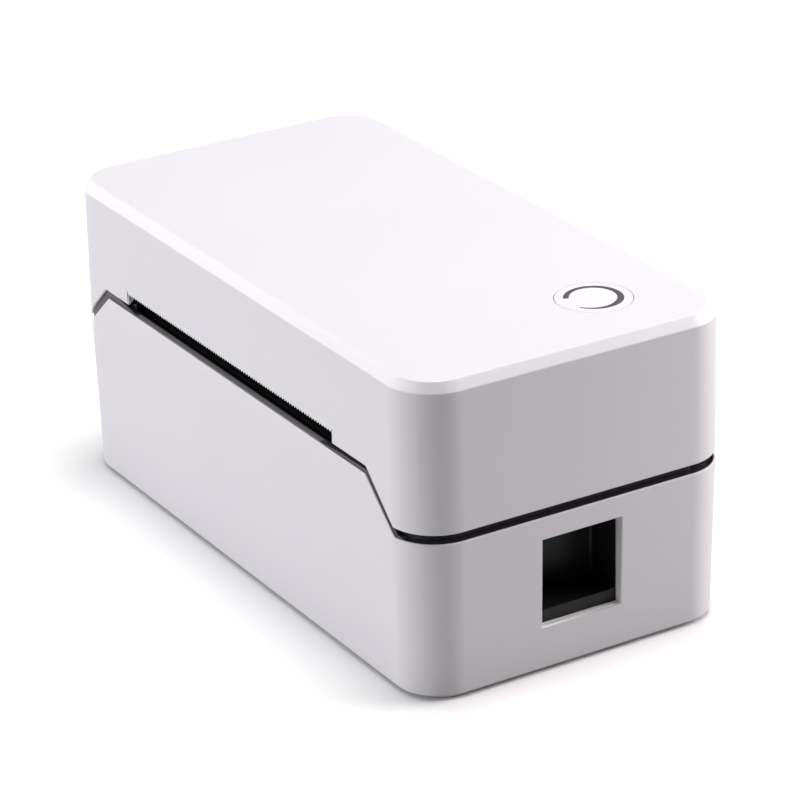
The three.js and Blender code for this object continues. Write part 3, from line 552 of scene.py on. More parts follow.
def seam_line(seam, slot=False):
    """The corners of a seam edge once round the box, from the middle of the back."""
    points = [
        (-GIRTH / 2, seam["side"]),
        (front_station(seam["foot_left"]), seam["side"]),
        (seam["left"], seam["front"]),
    ]
    if slot:
        points += [(SLOT_LEFT, seam["front"]), (SLOT_LEFT, SLOT_TOP)]
        points += [(SLOT_RIGHT, SLOT_TOP), (SLOT_RIGHT, seam["front"])]
    points += [
        (seam["right"], seam["front"]),
        (front_station(seam["foot_right"]), seam["side"]),
        (GIRTH / 2, seam["side"]),
    ]
    return points


def fillet_profile(points, radius, steps=4):
    """A line of (inset, z) points with each corner between its ends rounded."""
    corners = [Vector(point) for point in points]
    profile = [corners[0]]
    for before, corner, after in zip(corners, corners[1:], corners[2:]):
        come, go = (corner - before).normalized(), (after - corner).normalized()
        cut_back = radius * math.tan(come.angle(go) / 2)
        first, last = corner - come * cut_back, corner + go * cut_back
        for step in range(steps + 1):
            share = step / steps
            profile.append(first.lerp(corner, share).lerp(corner.lerp(last, share), share))
    return profile + [corners[-1]]


def edge_rows(path, towards, radius, thickness, inner_radius):
    """Rows round a seam edge, from the outer wall over its rounded rim to the inner wall.

    towards is 1 where the material lies above the edge and -1 where it lies below.
    """
    rows = []
    for step in range(5):
        angle = math.radians(90 * step / 4)
        lift, depth = radius * (1 - math.sin(angle)), radius * (1 - math.cos(angle))
        rows.append([(p + n * lift * towards, depth) for p, n in path])
    for step in range(3):
        angle = math.radians(90 * step / 2)
        lift, depth = inner_radius * (1 - math.cos(angle)), inner_radius * (1 - math.sin(angle))
        rows.append([(p + n * lift * towards, thickness - depth) for p, n in path])
    return [[on_case(p.x, p.y, depth) for p, depth in row] for row in rows]


def spread(path, gap=0.02):
    """The path's places round the box, kept in order where it runs straight up or down."""
    places = []
    for point, _ in path:
        places.append(max(point.x, places[-1] + gap) if places else point.x)
    return places


def level_row(places, z, depth):
    return [on_case(s, z, depth) for s in places]


def lid_case():
    """The lid: a drafted skirt with a softly bevelled top, a seam edge and the label slot's notch."""
    path = rounded_path(seam_line(SEAM_LID, slot=True), SEAM_CORNER)
    places = spread(path)
    bevel_z = HEIGHT - TOP_BEVEL_DROP
    crown = fillet_profile(
        [
            (draft_at(LID_HIGH_ROW), LID_HIGH_ROW),
            (draft_at(bevel_z), bevel_z),
            (draft_at(HEIGHT) + TOP_BEVEL_INSET, HEIGHT),
            (8, HEIGHT),
        ],
        0.9,
    )
    top_rows = [level_row(places, p.y, p.x - draft_at(p.y)) for p in reversed(crown)]
    rim_rows = edge_rows(path, 1, LID_EDGE, WALL, 0.3)
    # A row just above the seam edge keeps the painted edge highlight from running up the wall.
    guard_row = []
    for (point, _), place in zip(path, places):
        crest = max(other.y for other, _ in path if abs(other.x - point.x) < 0.6)
        guard_row.append(on_case(place, crest + LID_EDGE + 0.3, 0))
    inner_top = HEIGHT - WALL
    inner_rows = [level_row(places, z, WALL) for z in (LID_ROW, inner_top)]
    bm = bmesh.new()
    verts = grid(bm, top_rows + [level_row(places, LID_ROW, 0), guard_row] + rim_rows + inner_rows)

    hole = BUTTON_RADIUS + BUTTON_GAP
    edge = 0.18
    rings = [(hole + edge * (1 - math.sin(t)), HEIGHT - edge * (1 - math.cos(t))) for t in quarter(4)]
    rings.append((hole, inner_top))
    wall = grid(bm, [[(x, y, z) for x, y in circle(r, 96, BUTTON)] for r, z in rings])
    patch(bm, verts[0], wall[0])
    patch(bm, verts[-1], wall[-1])
    fit(soften(new_object("lid_case", bm), 0), "lid", WHITE, "lid_shell")


def base_case():
    """The base's ring of wall, with its raised front, a thin lip at the seam and its openings."""
    path = rounded_path(seam_line(SEAM_BASE), SEAM_CORNER)
    places = spread(path)
    foot = fillet_profile(
        [
            (draft_at(BASE_LOW_ROW), BASE_LOW_ROW),
            (draft_at(SHELL_BOTTOM + BOTTOM_BEVEL), SHELL_BOTTOM + BOTTOM_BEVEL),
            (draft_at(SHELL_BOTTOM) + BOTTOM_BEVEL, SHELL_BOTTOM),
            (draft_at(SHELL_BOTTOM) + WALL, SHELL_BOTTOM),
        ],
        0.35,
    )
    foot_rows = [level_row(places, p.y, p.x - draft_at(p.y)) for p in foot]
    rim_rows = edge_rows(path, -1, BASE_EDGE, LIP, 0.08)
    shoulder = RIM_HEIGHT + FIT_GAP
    rebate_rows = [[on_case(p.x, p.y - shoulder, depth) for p, _ in path] for depth in (LIP, WALL)]
    waist = [on_case(p.x, min(WIDEST_Z, p.y - 1.5), 0) for p, _ in path]
    inner_waist = [on_case(p.x, min(WIDEST_Z, p.y - 3.5), WALL) for p, _ in path]
    rows = foot_rows[::-1] + [level_row(places, BASE_ROW, 0), waist] + rim_rows + rebate_rows
    rows += [inner_waist, level_row(places, BASE_ROW, WALL), level_row(places, SHELL_BOTTOM, WALL)]
    bm = bmesh.new()
    grid(bm, rows)
    base = new_object("base_case", bm)
    cutters = [flared_cutter("X", side, WINDOW_LOW, WINDOW_HIGH) for side in (1, -1)]
    panel_low = (REAR_LOW.x - FIT_GAP, REAR_LOW.z - FIT_GAP)
    panel_high = (REAR_HIGH.x + FIT_GAP, REAR_HIGH.z + FIT_GAP)
    cutters.append(flared_cutter("Y", 1, panel_low, panel_high))
    cutters.append(flared_cutter("Y", 1, (SLOT_LEFT, FEED_BOTTOM), (SLOT_RIGHT, 60)))
    combine(base, "DIFFERENCE", *cutters)
    fit(soften(base, 0), "base", WHITE, "base_shell")


def flared_cutter(axis, side, low, high, flare=0.4):
    """A bar that cuts a sharp-cornered opening through a drafted wall and rounds its outer edge.

    low and high are the opening's corners as (y, z) across X, or as (x, z) across Y.
    """
    reach = (LENGTH if axis == "X" else DEPTH) / 2
    steps = [(-12.0, 0.0)]
    steps += [(-flare * (1 - math.sin(t)), flare * (1 - math.cos(t))) for t in quarter(4)]
    steps.append((6.0, flare + 6.0))
    rows = []
    for out, grow in steps:
        row = []
        for across, z in (
            (low[0] - grow, low[1] - grow),
            (high[0] + grow, low[1] - grow),
            (high[0] + grow, high[1] + grow),
            (low[0] - grow, high[1] + grow),
        ):
            along = side * (reach - draft_at(z) + out)
            row.append((along, across, z) if axis == "X" else (across, along, z))
        rows.append(row)
    bm = bmesh.new()
    verts = grid(bm, rows)
    bm.faces.new(verts[0])
    bm.faces.new(verts[-1])
    return new_object("cutter", bm)


# ---------------------------------------------------------------- button

def mark_width(t):
    """The stroke's width along the open ring: pointed at its start, widest after a third."""
    swell = 1 + 0.154 * math.sin(2 * math.pi * t) + 0.091 * math.sin(math.pi * t)
    return 1.5 * min(1, 0.3 + 2.4 * t) * swell


def mark_outline(growth=0.0, steps=72):
    """The open ring's outline, grown on all sides, with a round end where the stroke is full."""

    def point(radius, angle):
        return (BUTTON.x + radius * math.cos(angle), BUTTON.y + radius * math.sin(angle))

    outer, inner, cap = [], [], []
    for step in range(steps + 1):
        t = step / steps
        angle = MARK_FROM + (MARK_TO - MARK_FROM) * t
        outer.append(point(MARK_RADIUS + growth, angle))
        inner.append(point(MARK_RADIUS - mark_width(t) - growth, angle))
    half = mark_width(1) / 2
    end = MARK_RADIUS - half
    for step in range(1, 8):
        turn = math.pi * step / 8
        angle = MARK_TO + (half + growth) * math.sin(turn) * 0.55 / end
        cap.append(point(end + (half + growth) * math.cos(turn), angle))
    return outer + cap + inner[::-1]


def button():
    """The round cap, flush with the lid, and the grey open ring let into it."""
    top, ledge, under, ceiling = CAP_HIGH.z, 90.3, 88.9, 91.6
    flange, hollow = BUTTON_RADIUS + 1.4, BUTTON_RADIUS - 1.6
    rim = fillet_profile([(0, top), (BUTTON_RADIUS, top), (BUTTON_RADIUS, ledge), (flange, ledge)], 0.22)
    profile = [(p.x, p.y) for p in rim]
    profile += [(flange, under), (hollow, under), (hollow, ceiling)]
    profile += [(2.6, ceiling), (2.6, CAP_LOW.z + 0.3), (2.3, CAP_LOW.z), (0, CAP_LOW.z)]
    cap = lathe("button_dome", "Z", (BUTTON.x, BUTTON.y, 0), profile, 128)
    combine(cap, "DIFFERENCE", prism("groove", "Z", mark_outline(0.07), top - 0.9, top + 1))
    fit(soften(cap, 0.06, 2, 50), "button", WHITE, "button_cap")
    mark = prism("ring_mark", "Z", mark_outline(), top - 0.7, top - 0.02)
    fit(soften(mark, 0.08, 2, 50), "button", MARK, "button_mark")


# ---------------------------------------------------------------- label exit

def tear_teeth():
    """The moulded comb folded under the exit slot's top edge, with its teeth hanging at the front."""
    left, right, front = SLOT_LEFT + 0.02, SLOT_RIGHT - 0.02, TEAR_LOW.y - 0.17
    root, tip, fold = SLOT_TOP - 0.05, SLOT_TOP - 0.8, SLOT_TOP + LID_EDGE
    pitch = (right - left) / TEETH
    points = [(fold, left), (root, left)]
    for tooth in range(TEETH):
        middle = left + (tooth + 0.5) * pitch
        points += [(tip, middle - 0.1), (tip, middle + 0.1), (root, left + (tooth + 1) * pitch)]
    points.append((fold, right))
    comb = prism("tear_comb", "Y", points, front, front + 0.6)
    fit(soften(comb, 0.06, 2, 40), "lid", WHITE, "tear_bar")
    web, post, back = SLOT_TOP - 0.25, -48.6, -48
    profile = [(front + 0.5, web), (front + 0.5, SLOT_TOP), (post, SLOT_TOP)]
    profile += [(post, TEAR_HIGH.z), (back, TEAR_HIGH.z), (back, web)]
    holder = prism("tear_holder", "X", profile, left, right)
    fit(soften(holder, 0.12), "lid", WHITE)


def exit_cheeks():
    """Black wedges at the exit slot's two ends, over its lower corners, in the painted shade black."""
    for side, x in (("left", SLOT_LEFT + 0.02), ("right", SLOT_RIGHT - 0.32)):
        outline = [(-51.1, 62.8), (-47.2, SLOT_TOP - 0.05), (-46.8, SLOT_TOP - 0.05), (-46.8, 62.8)]
        cheek = prism(f"exit_cheek_{side}", "X", outline, x, x + 0.3)
        fit(soften(cheek, 0.05, 1), "lid", SHADE_BLACK)


def front_strip():
    """The strip over the frame's rim along the raised front, with a lip beside the slot; its grey is painted
    light, lighter still before the slot.
    """
    low, high = front_station(SEAM_BASE["foot_left"]) - 4, front_station(SEAM_BASE["foot_right"]) + 3
    line = [(low, SEAM_BASE["side"])] + seam_line(SEAM_BASE)[1:-1] + [(high, SEAM_BASE["side"])]
    path = rounded_path(line, SEAM_CORNER)

    def lip_height(s):
        beside_left, beside_right = SLOT_LEFT - 0.4 - s, s - SLOT_RIGHT - 0.4
        if beside_left > 0:
            return 0.12 + 1.9 * min(1, beside_left / 0.5)
        return 0.12 + 0.75 * min(1, max(0, beside_right) / 5) * min(1, max(0, high - s) / 3)

    # Depth inside the case, height above the seam, and whether the lip stands on that edge.
    section = [(0.7, -0.03, 0), (0.7, 0, 1), (1.05, 0, 1), (1.05, 0.12, 0), (2.3, 0.12, 0), (2.3, -0.03, 0)]
    rows = []
    for depth, lift, lip in section:
        row = [point + normal * (lift + lip * lip_height(point.x)) for point, normal in path]
        rows.append([on_case(place.x, place.y, depth) for place in row])
    bm = bmesh.new()
    grid(bm, rows + rows[:1], closed=False)
    strip = new_object("front_strip", bm)
    fill_ends(strip)
    fit(soften(strip, 0.1, 2, 50), "base", STRIP_PAINTED_LIGHT)
    # The strip's faces in front of the slot get the lighter painted-light grey.
    strip.data.materials.append(LEDGE_PAINTED_LIGHT)
    for face in strip.data.polygons:
        if SLOT_LEFT < face.center.x / MM < SLOT_RIGHT - 2:
            face.material_index = 1


def fill_ends(obj):
    """Closes the open loops of a tube-like mesh."""
    bm = bmesh.new()
    bm.from_mesh(obj.data)
    bmesh.ops.holes_fill(bm, edges=[edge for edge in bm.edges if edge.is_boundary], sides=0)
    bmesh.ops.recalc_face_normals(bm, faces=bm.faces)
    bm.to_mesh(obj.data)
    bm.free()


# ---------------------------------------------------------------- release recesses

ENDS = ((1, "right"), (-1, "left"))
POCKET_LOW, POCKET_HIGH = (-12.6, 17.7), (13.8, 60)
POCKET_TOP = 44.6
RECESS_WALL = 1.6


def grown(low, high, margin):
    """An upright rectangle's outline from its lowest and highest corners, moved out by a margin."""
    left, bottom, right, top = low[0] - margin, low[1] - margin, high[0] + margin, high[1] + margin
    return [(left, bottom), (right, bottom), (right, top), (left, top)]


def recess(side, end):
    """The black pocket behind a side window, open at the top for the release paddle."""
    (front, bottom), (back, _) = POCKET_LOW, POCKET_HIGH
    outside, floor, seat, face = 82.9, 84.5, 95.2, 96.6
    outer = (front - RECESS_WALL, bottom - RECESS_WALL), (back + RECESS_WALL, POCKET_TOP)
    flange = rounded_rect((-16, 11.5), (17, POCKET_TOP), 1.5)
    piece = prism(f"recess_pocket_{end}", "X", flange, seat, face)
    shell = prism("shell", "X", rounded_rect(*outer, 1.2), outside, 96)
    pocket = prism("pocket", "X", rounded_rect(POCKET_LOW, POCKET_HIGH, 2.2), floor, 110)
    ear = [(40, 75.5), (50, 75.5), (50, 83), (POCKET_TOP, 88.5), (40, 88.5)]
    ears = [prism("ear", "Y", ear, low, low + RECESS_WALL) for low in (front - RECESS_WALL, back)]
    lever_pin, bore_radius = (79, 0, 46.8), 1.65
    bore_profile = [(0, -20), (bore_radius, -20), (bore_radius, 20), (0, 20)]
    bore = lathe("bore", "Y", lever_pin, bore_profile, 32)
    combine(piece, "UNION", shell, *ears)
    combine(piece, "DIFFERENCE", soften(pocket, 1.1, 4, 50), bore)
    if side < 0:
        mirror_x(piece)
    fit(soften(piece, 0.3, 3), "base", RECESS_BLACK, f"recess_liner_{end}")


def window_collar(side, end):
    """The window's white return, which carries its edge inwards to the black pocket."""
    inner, outer, skin = 96.65, 98.8, 0.03
    collar = prism(f"window_collar_{end}", "X", grown(WINDOW_LOW, WINDOW_HIGH, 1), inner, outer)
    opening = prism("opening", "X", grown(WINDOW_LOW, WINDOW_HIGH, -skin), 90, 110)
    combine(collar, "DIFFERENCE", opening)
    if side < 0:
        mirror_x(collar)
    fit(soften(collar, 0.06, 2), "base", WHITE)


def mirror_x(obj):
    """Turns a piece into its mirror image on the other side of the middle plane."""
    obj.data.transform(Matrix.Scale(-1, 4, X))
    obj.data.flip_normals()


# ---------------------------------------------------------------- screws and feet

def cross_outline(x, y, reach=1.4, half=0.3):
    """A cross recess's outline, one arm after another."""
    arm = [(-half, -reach), (half, -reach), (half, -half)]
    corners = []
    for _ in range(4):
        corners += arm
        arm = [(-v, u) for u, v in arm]
    return [(x + u, y + v) for u, v in corners]


def screw(name, node, body, head_radius, shank_radius):
    """A pan-head screw with a cross recess and a coarse thread, driven upwards."""
    low, high = box_mm(node)
    x, y = (low.x + high.x) / 2, (low.y + high.y) / 2
    head, pitch, core = low.z + 1.5, 0.9, shank_radius - 0.3
    profile = [(0, low.z), (head_radius - 0.9, low.z), (head_radius - 0.25, low.z + 0.3)]
    profile += [(head_radius, low.z + 0.8), (head_radius, head), (shank_radius, head)]
    for turn in range(int((high.z - head - 1) / pitch)):
        z = head + 0.4 + turn * pitch
        profile += [(core, z), (shank_radius, z + 0.4), (shank_radius, z + 0.5)]
    profile += [(core, high.z - 0.4), (0.3, high.z), (0, high.z)]
    piece = lathe(name, "Z", (x, y, 0), profile, 32)
    combine(piece, "DIFFERENCE", prism("drive", "Z", cross_outline(x, y), low.z - 1, low.z + 0.75))
    fit(soften(piece, 0.06, 2, 50), body, ZINC, node)


def foot(name, node):
    """A round rubber foot with a dished face and a groove round it."""
    middle = centre_mm(node)
    profile = [(0, 0.2), (2.6, 0.2), (2.9, 0), (4.4, 0), (4.6, 0.2), (4.9, 0.2), (5.1, 0), (5.95, 0)]
    profile += [(6.3, 0.18), (6.4, 0.5), (6.4, 1), (0, 1)]
    piece = lathe(name, "Z", (middle.x, middle.y, 0), profile, 64)
    fit(soften(piece, 0.05, 2, 40), "base", FOOT_RUBBER, node)


# ---------------------------------------------------------------- wheels

def involute(radius, base_radius):
    angle = math.acos(min(1, base_radius / radius))
    return math.tan(angle) - angle


def tooth_side(module, teeth, backlash=0.16, steps=6):
    """(radius, angle from the tooth's middle) from the root up one flank to the tip."""
    pitch = module * teeth / 2
    base = pitch * math.cos(math.radians(20))
    root, tip = pitch - 1.25 * module, pitch + 0.95 * module
    half = math.pi / (2 * teeth) - backlash / (2 * pitch)
    start = max(base, root)
    points = []
    for step in range(steps + 1):
        radius = start + (tip - start) * step / steps
        points.append((radius, half + involute(pitch, base) - involute(radius, base)))
    foot_radius = min(root, start - 0.05)
    flank = points[0][1]
    return [(foot_radius, flank + 0.35 / foot_radius), (foot_radius + 0.15, flank + 0.04)] + points


def gear_outline(module, teeth, phase, centre, shrink=0.0):
    """A spur gear's outline with one tooth centred on the angle of its phase."""
    side = [(radius - shrink, angle - shrink / radius) for radius, angle in tooth_side(module, teeth)]
    points = []
    for tooth in range(teeth):
        middle = phase + tooth * 2 * math.pi / teeth
        angles = [(radius, middle - angle) for radius, angle in side]
        angles += [(radius, middle + angle) for radius, angle in reversed(side)]
        points += [(centre[0] + r * math.cos(a), centre[1] + r * math.sin(a)) for r, a in angles]
    return points


def add_gear(bm, axis, module, teeth, phase, centre, low, high, bore, chamfer=0.18):
    """A toothed ring round a bore, with its tooth tips chamfered at both faces."""
    rows = []
    for along, shrink in ((low, chamfer), (low + chamfer, 0), (high - chamfer, 0), (high, chamfer)):
        outline = gear_outline(module, teeth, phase, centre, shrink * 0.5)
        rows.append([placed(axis, along, *point) for point in outline])
    ring = []
    for u, v in gear_outline(module, teeth, phase, centre):
        angle = math.atan2(v - centre[1], u - centre[0])
        ring.append((centre[0] + bore * math.cos(angle), centre[1] + bore * math.sin(angle)))
    low_ring, high_ring = ([placed(axis, along, *point) for point in ring] for along in (low, high))
    grid(bm, [low_ring] + rows + [high_ring, low_ring])


def rod(axis, centre, radius, low, high, chamfer):
    """A plain round solid with chamfered ends, for a boss or the cutter of a bore."""
    profile = [(0, low), (radius - chamfer, low), (radius, low + chamfer)]
    profile += [(radius, high - chamfer), (radius - chamfer, high), (0, high)]
    return lathe("rod", axis, centre, profile, 48)


def meshed_phase(first, first_teeth, first_phase, second, second_teeth):
    """The phase that puts a gap of the second wheel where the first has a tooth."""
    direction = math.atan2(second.z - first.z, second.y - first.y)
    turned = (first_phase - direction) * first_teeth / second_teeth
    return direction + math.pi + math.pi / second_teeth - turned


def gear_train():
    """The platen's wheel, the two-step idler and the motor's pinion."""
    idler_phase = meshed_phase(PLATEN_AXIS, TEETH_PLATEN, 0, IDLER_AXIS, TEETH_IDLER_SMALL)
    pinion_phase = meshed_phase(IDLER_AXIS, TEETH_IDLER_LARGE, 0, MOTOR_AXIS, TEETH_MOTOR)
    at_platen, at_idler, at_motor = ((0, axis.y, axis.z) for axis in (PLATEN_AXIS, IDLER_AXIS, MOTOR_AXIS))

    inner_face = 60.2
    bm = bmesh.new()
    add_gear(bm, "X", MODULE, TEETH_PLATEN, 0, at_platen[1:], inner_face, 62.8, 2.6)
    fit(soften(new_object("platen_wheel", bm), 0), "platen", ACETAL, "platen_gear")

    bm = bmesh.new()
    bore, hub, step, face = 1.6, 6.2, 63.1, 65.8
    add_gear(bm, "X", MODULE, TEETH_IDLER_SMALL, idler_phase, at_idler[1:], inner_face, step + 0.1, bore)
    add_gear(bm, "X", MODULE, TEETH_IDLER_LARGE, 0, at_idler[1:], step, face, 10.5)
    ring = [(bore, step), (hub, step), (hub, face - 0.2), (hub - 0.2, face), (bore, face), (bore, step)]
    add_lathe(bm, "X", at_idler, ring)
    holes = [circle(hub - 0.1, 48, at_idler[1:])]
    holes += [circle(1.5, 24, middle) for middle in circle(8.4, 6, at_idler[1:])]
    add_prism(bm, "X", circle(10.6, 64, at_idler[1:]), step + 0.05, 64.8, holes)
    fit(soften(new_object("idler_wheel", bm), 0), "idler", ACETAL, "idler_gear")

    bm = bmesh.new()
    add_gear(bm, "X", MODULE, TEETH_MOTOR, pinion_phase, at_motor[1:], step, 66, 1.4)
    shaft = [(0, 57.5), (1.35, 57.5), (1.5, 57.65), (1.5, 66.45), (1.35, 66.6), (0, 66.6)]
    add_lathe(bm, "X", at_motor, shaft, 48)
    fit(soften(new_object("pinion_wheel", bm), 0), "motor_rotor", STEEL, "motor_pinion")


def guide_wheel():
    """The wheel under the bed that couples the two guides."""
    low, high = box_mm("guide_pinion")
    middle = (low + high) / 2
    top = low.z + 3.4
    bm = bmesh.new()
    add_gear(bm, "Z", 1, 14, -math.pi / 2, (middle.x, middle.y), low.z, top, 4.9)
    profile = [(0, low.z), (3.2, low.z), (3.2, low.z + 0.6), (5, low.z + 0.6), (5, top - 0.1)]
    profile += [(2.6, top - 0.1), (2.6, high.z - 0.15), (2.45, high.z), (0, high.z)]
    add_lathe(bm, "Z", (middle.x, middle.y, 0), profile, 48)
    fit(soften(new_object("guide_wheel", bm), 0), "guide_gear", ACETAL, "guide_pinion")


# ---------------------------------------------------------------- platen and motor

def platen():
    """The rubber roller on its steel shaft, with chamfered ends and a groove for each bearing clip."""
    low, high = box_mm("platen_roller")
    at = (0, PLATEN_AXIS.y, PLATEN_AXIS.z)
    radius = (high.z - low.z) / 2
    profile = [(4.1, low.x), (radius - 0.5, low.x), (radius, low.x + 0.5), (radius, high.x - 0.5)]
    profile += [(radius - 0.5, high.x), (4.1, high.x), (4.1, low.x)]
    roller = lathe("roller_sleeve", "X", at, profile, 96)
    fit(soften(roller, 0.15, 2), "platen", RUBBER, "platen_roller")

    left, right = box_mm("platen_shaft")
    ends = [(0, left.x), (2.2, left.x), (2.5, left.x + 0.3), (2.5, left.x + 1.2), (2.1, left.x + 1.3)]
    ends += [(2.1, left.x + 1.8), (2.5, left.x + 1.9), (2.5, low.x - 0.8), (4.0, low.x - 0.8)]
    ends += [(4.0, high.x + 0.8), (2.5, high.x + 0.8), (2.5, right.x - 0.3), (2.2, right.x), (0, right.x)]
    shaft = lathe("roller_shaft", "X", at, ends, 48)
    fit(soften(shaft, 0.08, 2), "platen", STEEL, "platen_shaft")


def motor():
    """The stepper motor's drawn can, with its flange, seam and bearing boss."""
    low, high = box_mm("motor_body")
    at = (0, MOTOR_AXIS.y, MOTOR_AXIS.z)
    radius = 17.5
    profile = [(0, low.x), (4.5, low.x), (5, low.x + 0.4), (15.8, low.x + 0.4), (17.1, low.x + 1)]
    profile += [(radius, low.x + 2.2), (radius, high.x - 5.2), (radius - 0.3, high.x - 5)]
    profile += [(radius, high.x - 4.8), (radius, high.x - 1), (0, high.x - 1)]
    can = lathe("motor_can", "X", at, profile, 96)
    reach, half = 24, 4
    outline = rounded_rect((at[1] - reach, at[2] - half), (at[1] + reach, at[2] + half), 3.6)
    holes = [circle(1.6, 24, (at[1] + side * 20.5, at[2])) for side in (-1, 1)]
    flange = prism("flange", "X", outline, high.x - 1.2, high.x, holes)
    combine(can, "UNION", flange, rod("X", at, 4.6, high.x - 2, high.x, 0.2))
    combine(can, "DIFFERENCE", rod("X", at, 1.9, high.x - 1.5, high.x + 5, 0))
    fit(soften(can, 0.12, 2), "base", ZINC, "motor_body")


# ---------------------------------------------------------------- rear panel's fittings

def dc_inlet():
    """A round power inlet with a funnelled mouth and its centre pin."""
    low, high = box_mm("dc_inlet")
    at, shoulder = (41.0, 0, 17.2), 48.2
    body = block("dc_socket", low, (high.x, shoulder, high.z))
    barrel = [(0, 47.5), (4.2, 47.5), (4.2, high.y - 0.2), (4.0, high.y), (0, high.y)]
    bore = [(0, 40), (3, 40), (3, high.y - 0.5), (3.4, high.y), (3.4, 60), (0, 60)]
    combine(body, "UNION", lathe("barrel", "Y", at, barrel, 48))
    combine(body, "DIFFERENCE", lathe("bore", "Y", at, bore, 48))
    fit(soften(body, 0.15, 2), "base", BLACK, "dc_inlet")
    pin = lathe("dc_pin", "Y", at, [(0, 39.9), (0.95, 39.9), (0.95, 49.6), (0.7, 50.1), (0, 50.2)], 24)
    fit(soften(pin, 0), "base", STEEL)


def usb_outline(low, high, inset):
    """A square port's outline with its two upper corners cut off, as (z, x)."""
    bottom, top, left, right = low.z + inset, high.z - inset, low.x + inset, high.x - inset
    corner = 2.2
    upper = [(top - corner, left), (top, left + corner), (top, right - corner), (top - corner, right)]
    return [(bottom, left)] + upper + [(bottom, right)]


def usb_port():
    """A square data port: a folded steel shell, a tongue and its contacts."""
    low, high = box_mm("usb_port")
    shell = prism("usb_shell", "Y", usb_outline(low, high, 0), low.y, high.y)
    combine(shell, "DIFFERENCE", prism("mouth", "Y", usb_outline(low, high, 0.5), low.y + 3, 60))
    fit(soften(shell, 0.12, 2), "base", STEEL, "usb_port")
    x, _, z = (low + high) / 2
    wide, thick = 2.8, 1.7
    tongue = block("usb_tongue", (x - wide, low.y + 3, z - thick), (x + wide, high.y - 0.7, z + thick))
    fit(soften(tongue, 0.25), "base", GREY)
    bm = bmesh.new()
    for up in (z - thick - 0.05, z + thick + 0.05):
        for across in (x - 1.25, x + 1.25):
            add_box(bm, (across - 0.4, low.y + 4, up - 0.06), (across + 0.4, high.y - 1.2, up + 0.06))
    fit(soften(new_object("usb_contacts", bm), 0.02, 1), "base", BRASS)


def rocker():
    """The power switch's rocker, hollowed between its two ends and tilted as it stands when off."""
    low, high = box_mm("switch_rocker")
    middle = centre_mm("switch_housing")
    rest, hinge_y = math.radians(-7), 47.9
    face = [Vector((-4.6, -5)), Vector((1.5, -6.9)), Vector((2.5, -6.75))]
    for step in range(13):
        z = -6.3 + 12.6 * step / 12
        face.append(Vector((1.9 + 0.7 * (abs(z) / 6.3) ** 1.6, z)))
    face += [Vector((2.5, 6.75)), Vector((1.5, 6.9)), Vector((-4.6, 5))]
    turn = Matrix.Rotation(rest, 2)
    outline = [tuple(Vector((hinge_y, middle.z)) + turn @ point) for point in face]
    piece = prism("rocker_key", "X", outline, low.x, high.x)
    fit(soften(piece, 0.25, 3, 40), "rocker", BLACK, "switch_rocker")


# ---------------------------------------------------------------- printhead and boards

def heater_strip():
    """The glazed strip with its raised heater line and the row of bonded driver chips behind it."""
    low, high = box_mm("head_ceramic")
    y = PLATEN_AXIS.y
    profile = [(y - 7, high.z), (y - 7, low.z + 0.5), (y - 1.6, low.z + 0.42)]
    for step in range(9):
        across = -1.4 + 2.8 * step / 8
        profile.append((y + across, low.z + 0.4 * (across / 1.4) ** 2))
    profile += [(y + 1.6, low.z + 0.42), (y + 7, low.z + 0.5), (y + 7, high.z)]
    strip = prism("heater_strip", "X", profile, low.x, high.x)
    fit(soften(strip, 0.08, 2), "printhead", CERAMIC, "head_ceramic")
    bm = bmesh.new()
    count = 12
    pitch = (high.x - low.x) / count
    for chip in range(count):
        x = low.x + (chip + 0.5) * pitch
        add_pad(bm, x, y + 3.8, pitch * 0.4, 0.8, low.z + 0.25, low.z + 0.47)
    fit(soften(new_object("driver_chips", bm), 0.06, 2), "printhead", BLACK)


def board_parts():
    """Chips with their leads, capacitors and connectors on the main board."""
    top = box_mm("main_board")[1].z
    leaded = ((-8, 24, 5, 1.4), (28, 18, 3.5, 1.1), (-28, 30, 3, 1.1))
    chips, leads, cans, plugs = (bmesh.new() for _ in range(4))
    for x, y, half, tall in leaded + ((-44, 18, 2.4, 1), (6, 14, 2, 0.9)):
        add_pad(chips, x, y, half, half, top + 0.1, top + tall)
    for x, y, half, _ in leaded:
        for out in (-half - 0.45, half + 0.45):
            for lead in range(8):
                along = -half * 0.85 + lead * half * 1.7 / 7
                add_pad(leads, x + along, y + out, 0.15, 0.45, top, top + 0.2)
                add_pad(leads, x + out, y + along, 0.45, 0.15, top, top + 0.2)
    for x, y, radius, tall in ((42, 14, 3.1, 7), (34, 28, 3.1, 7), (-52, 30, 2.5, 5.5)):
        profile = [(0, 0), (radius, 0), (radius, 0.8), (radius - 0.25, 1.1), (radius, 1.4)]
        profile += [(radius, tall - 0.4), (radius - 0.4, tall), (radius - 0.7, tall - 0.15), (0, tall - 0.15)]
        add_lathe(cans, "Z", (x, y, top), profile, 32)
    for x, y, half in ((-54, 20, 3), (-38, 40, 5), (2, 32, 4)):
        add_pad(plugs, x, y, half, 2.2, top, top + 5)
    fit(soften(new_object("board_chips", chips), 0.12, 2), "base", BLACK)
    fit(soften(new_object("board_leads", leads), 0.03, 1), "base", STEEL)
    fit(soften(new_object("board_capacitors", cans), 0.05, 1, 50), "base", ALUMINIUM)
    fit(soften(new_object("board_sockets", plugs), 0.3, 2), "base", ACETAL)


# ---------------------------------------------------------------- camera, light and floor

def aim(azimuth, elevation):
    """The direction from the printer at an angle round from its front and an angle up, in degrees."""
    a, e = math.radians(azimuth), math.radians(elevation)
    return Vector((math.sin(a) * math.cos(e), -math.cos(a) * math.cos(e), math.sin(e)))


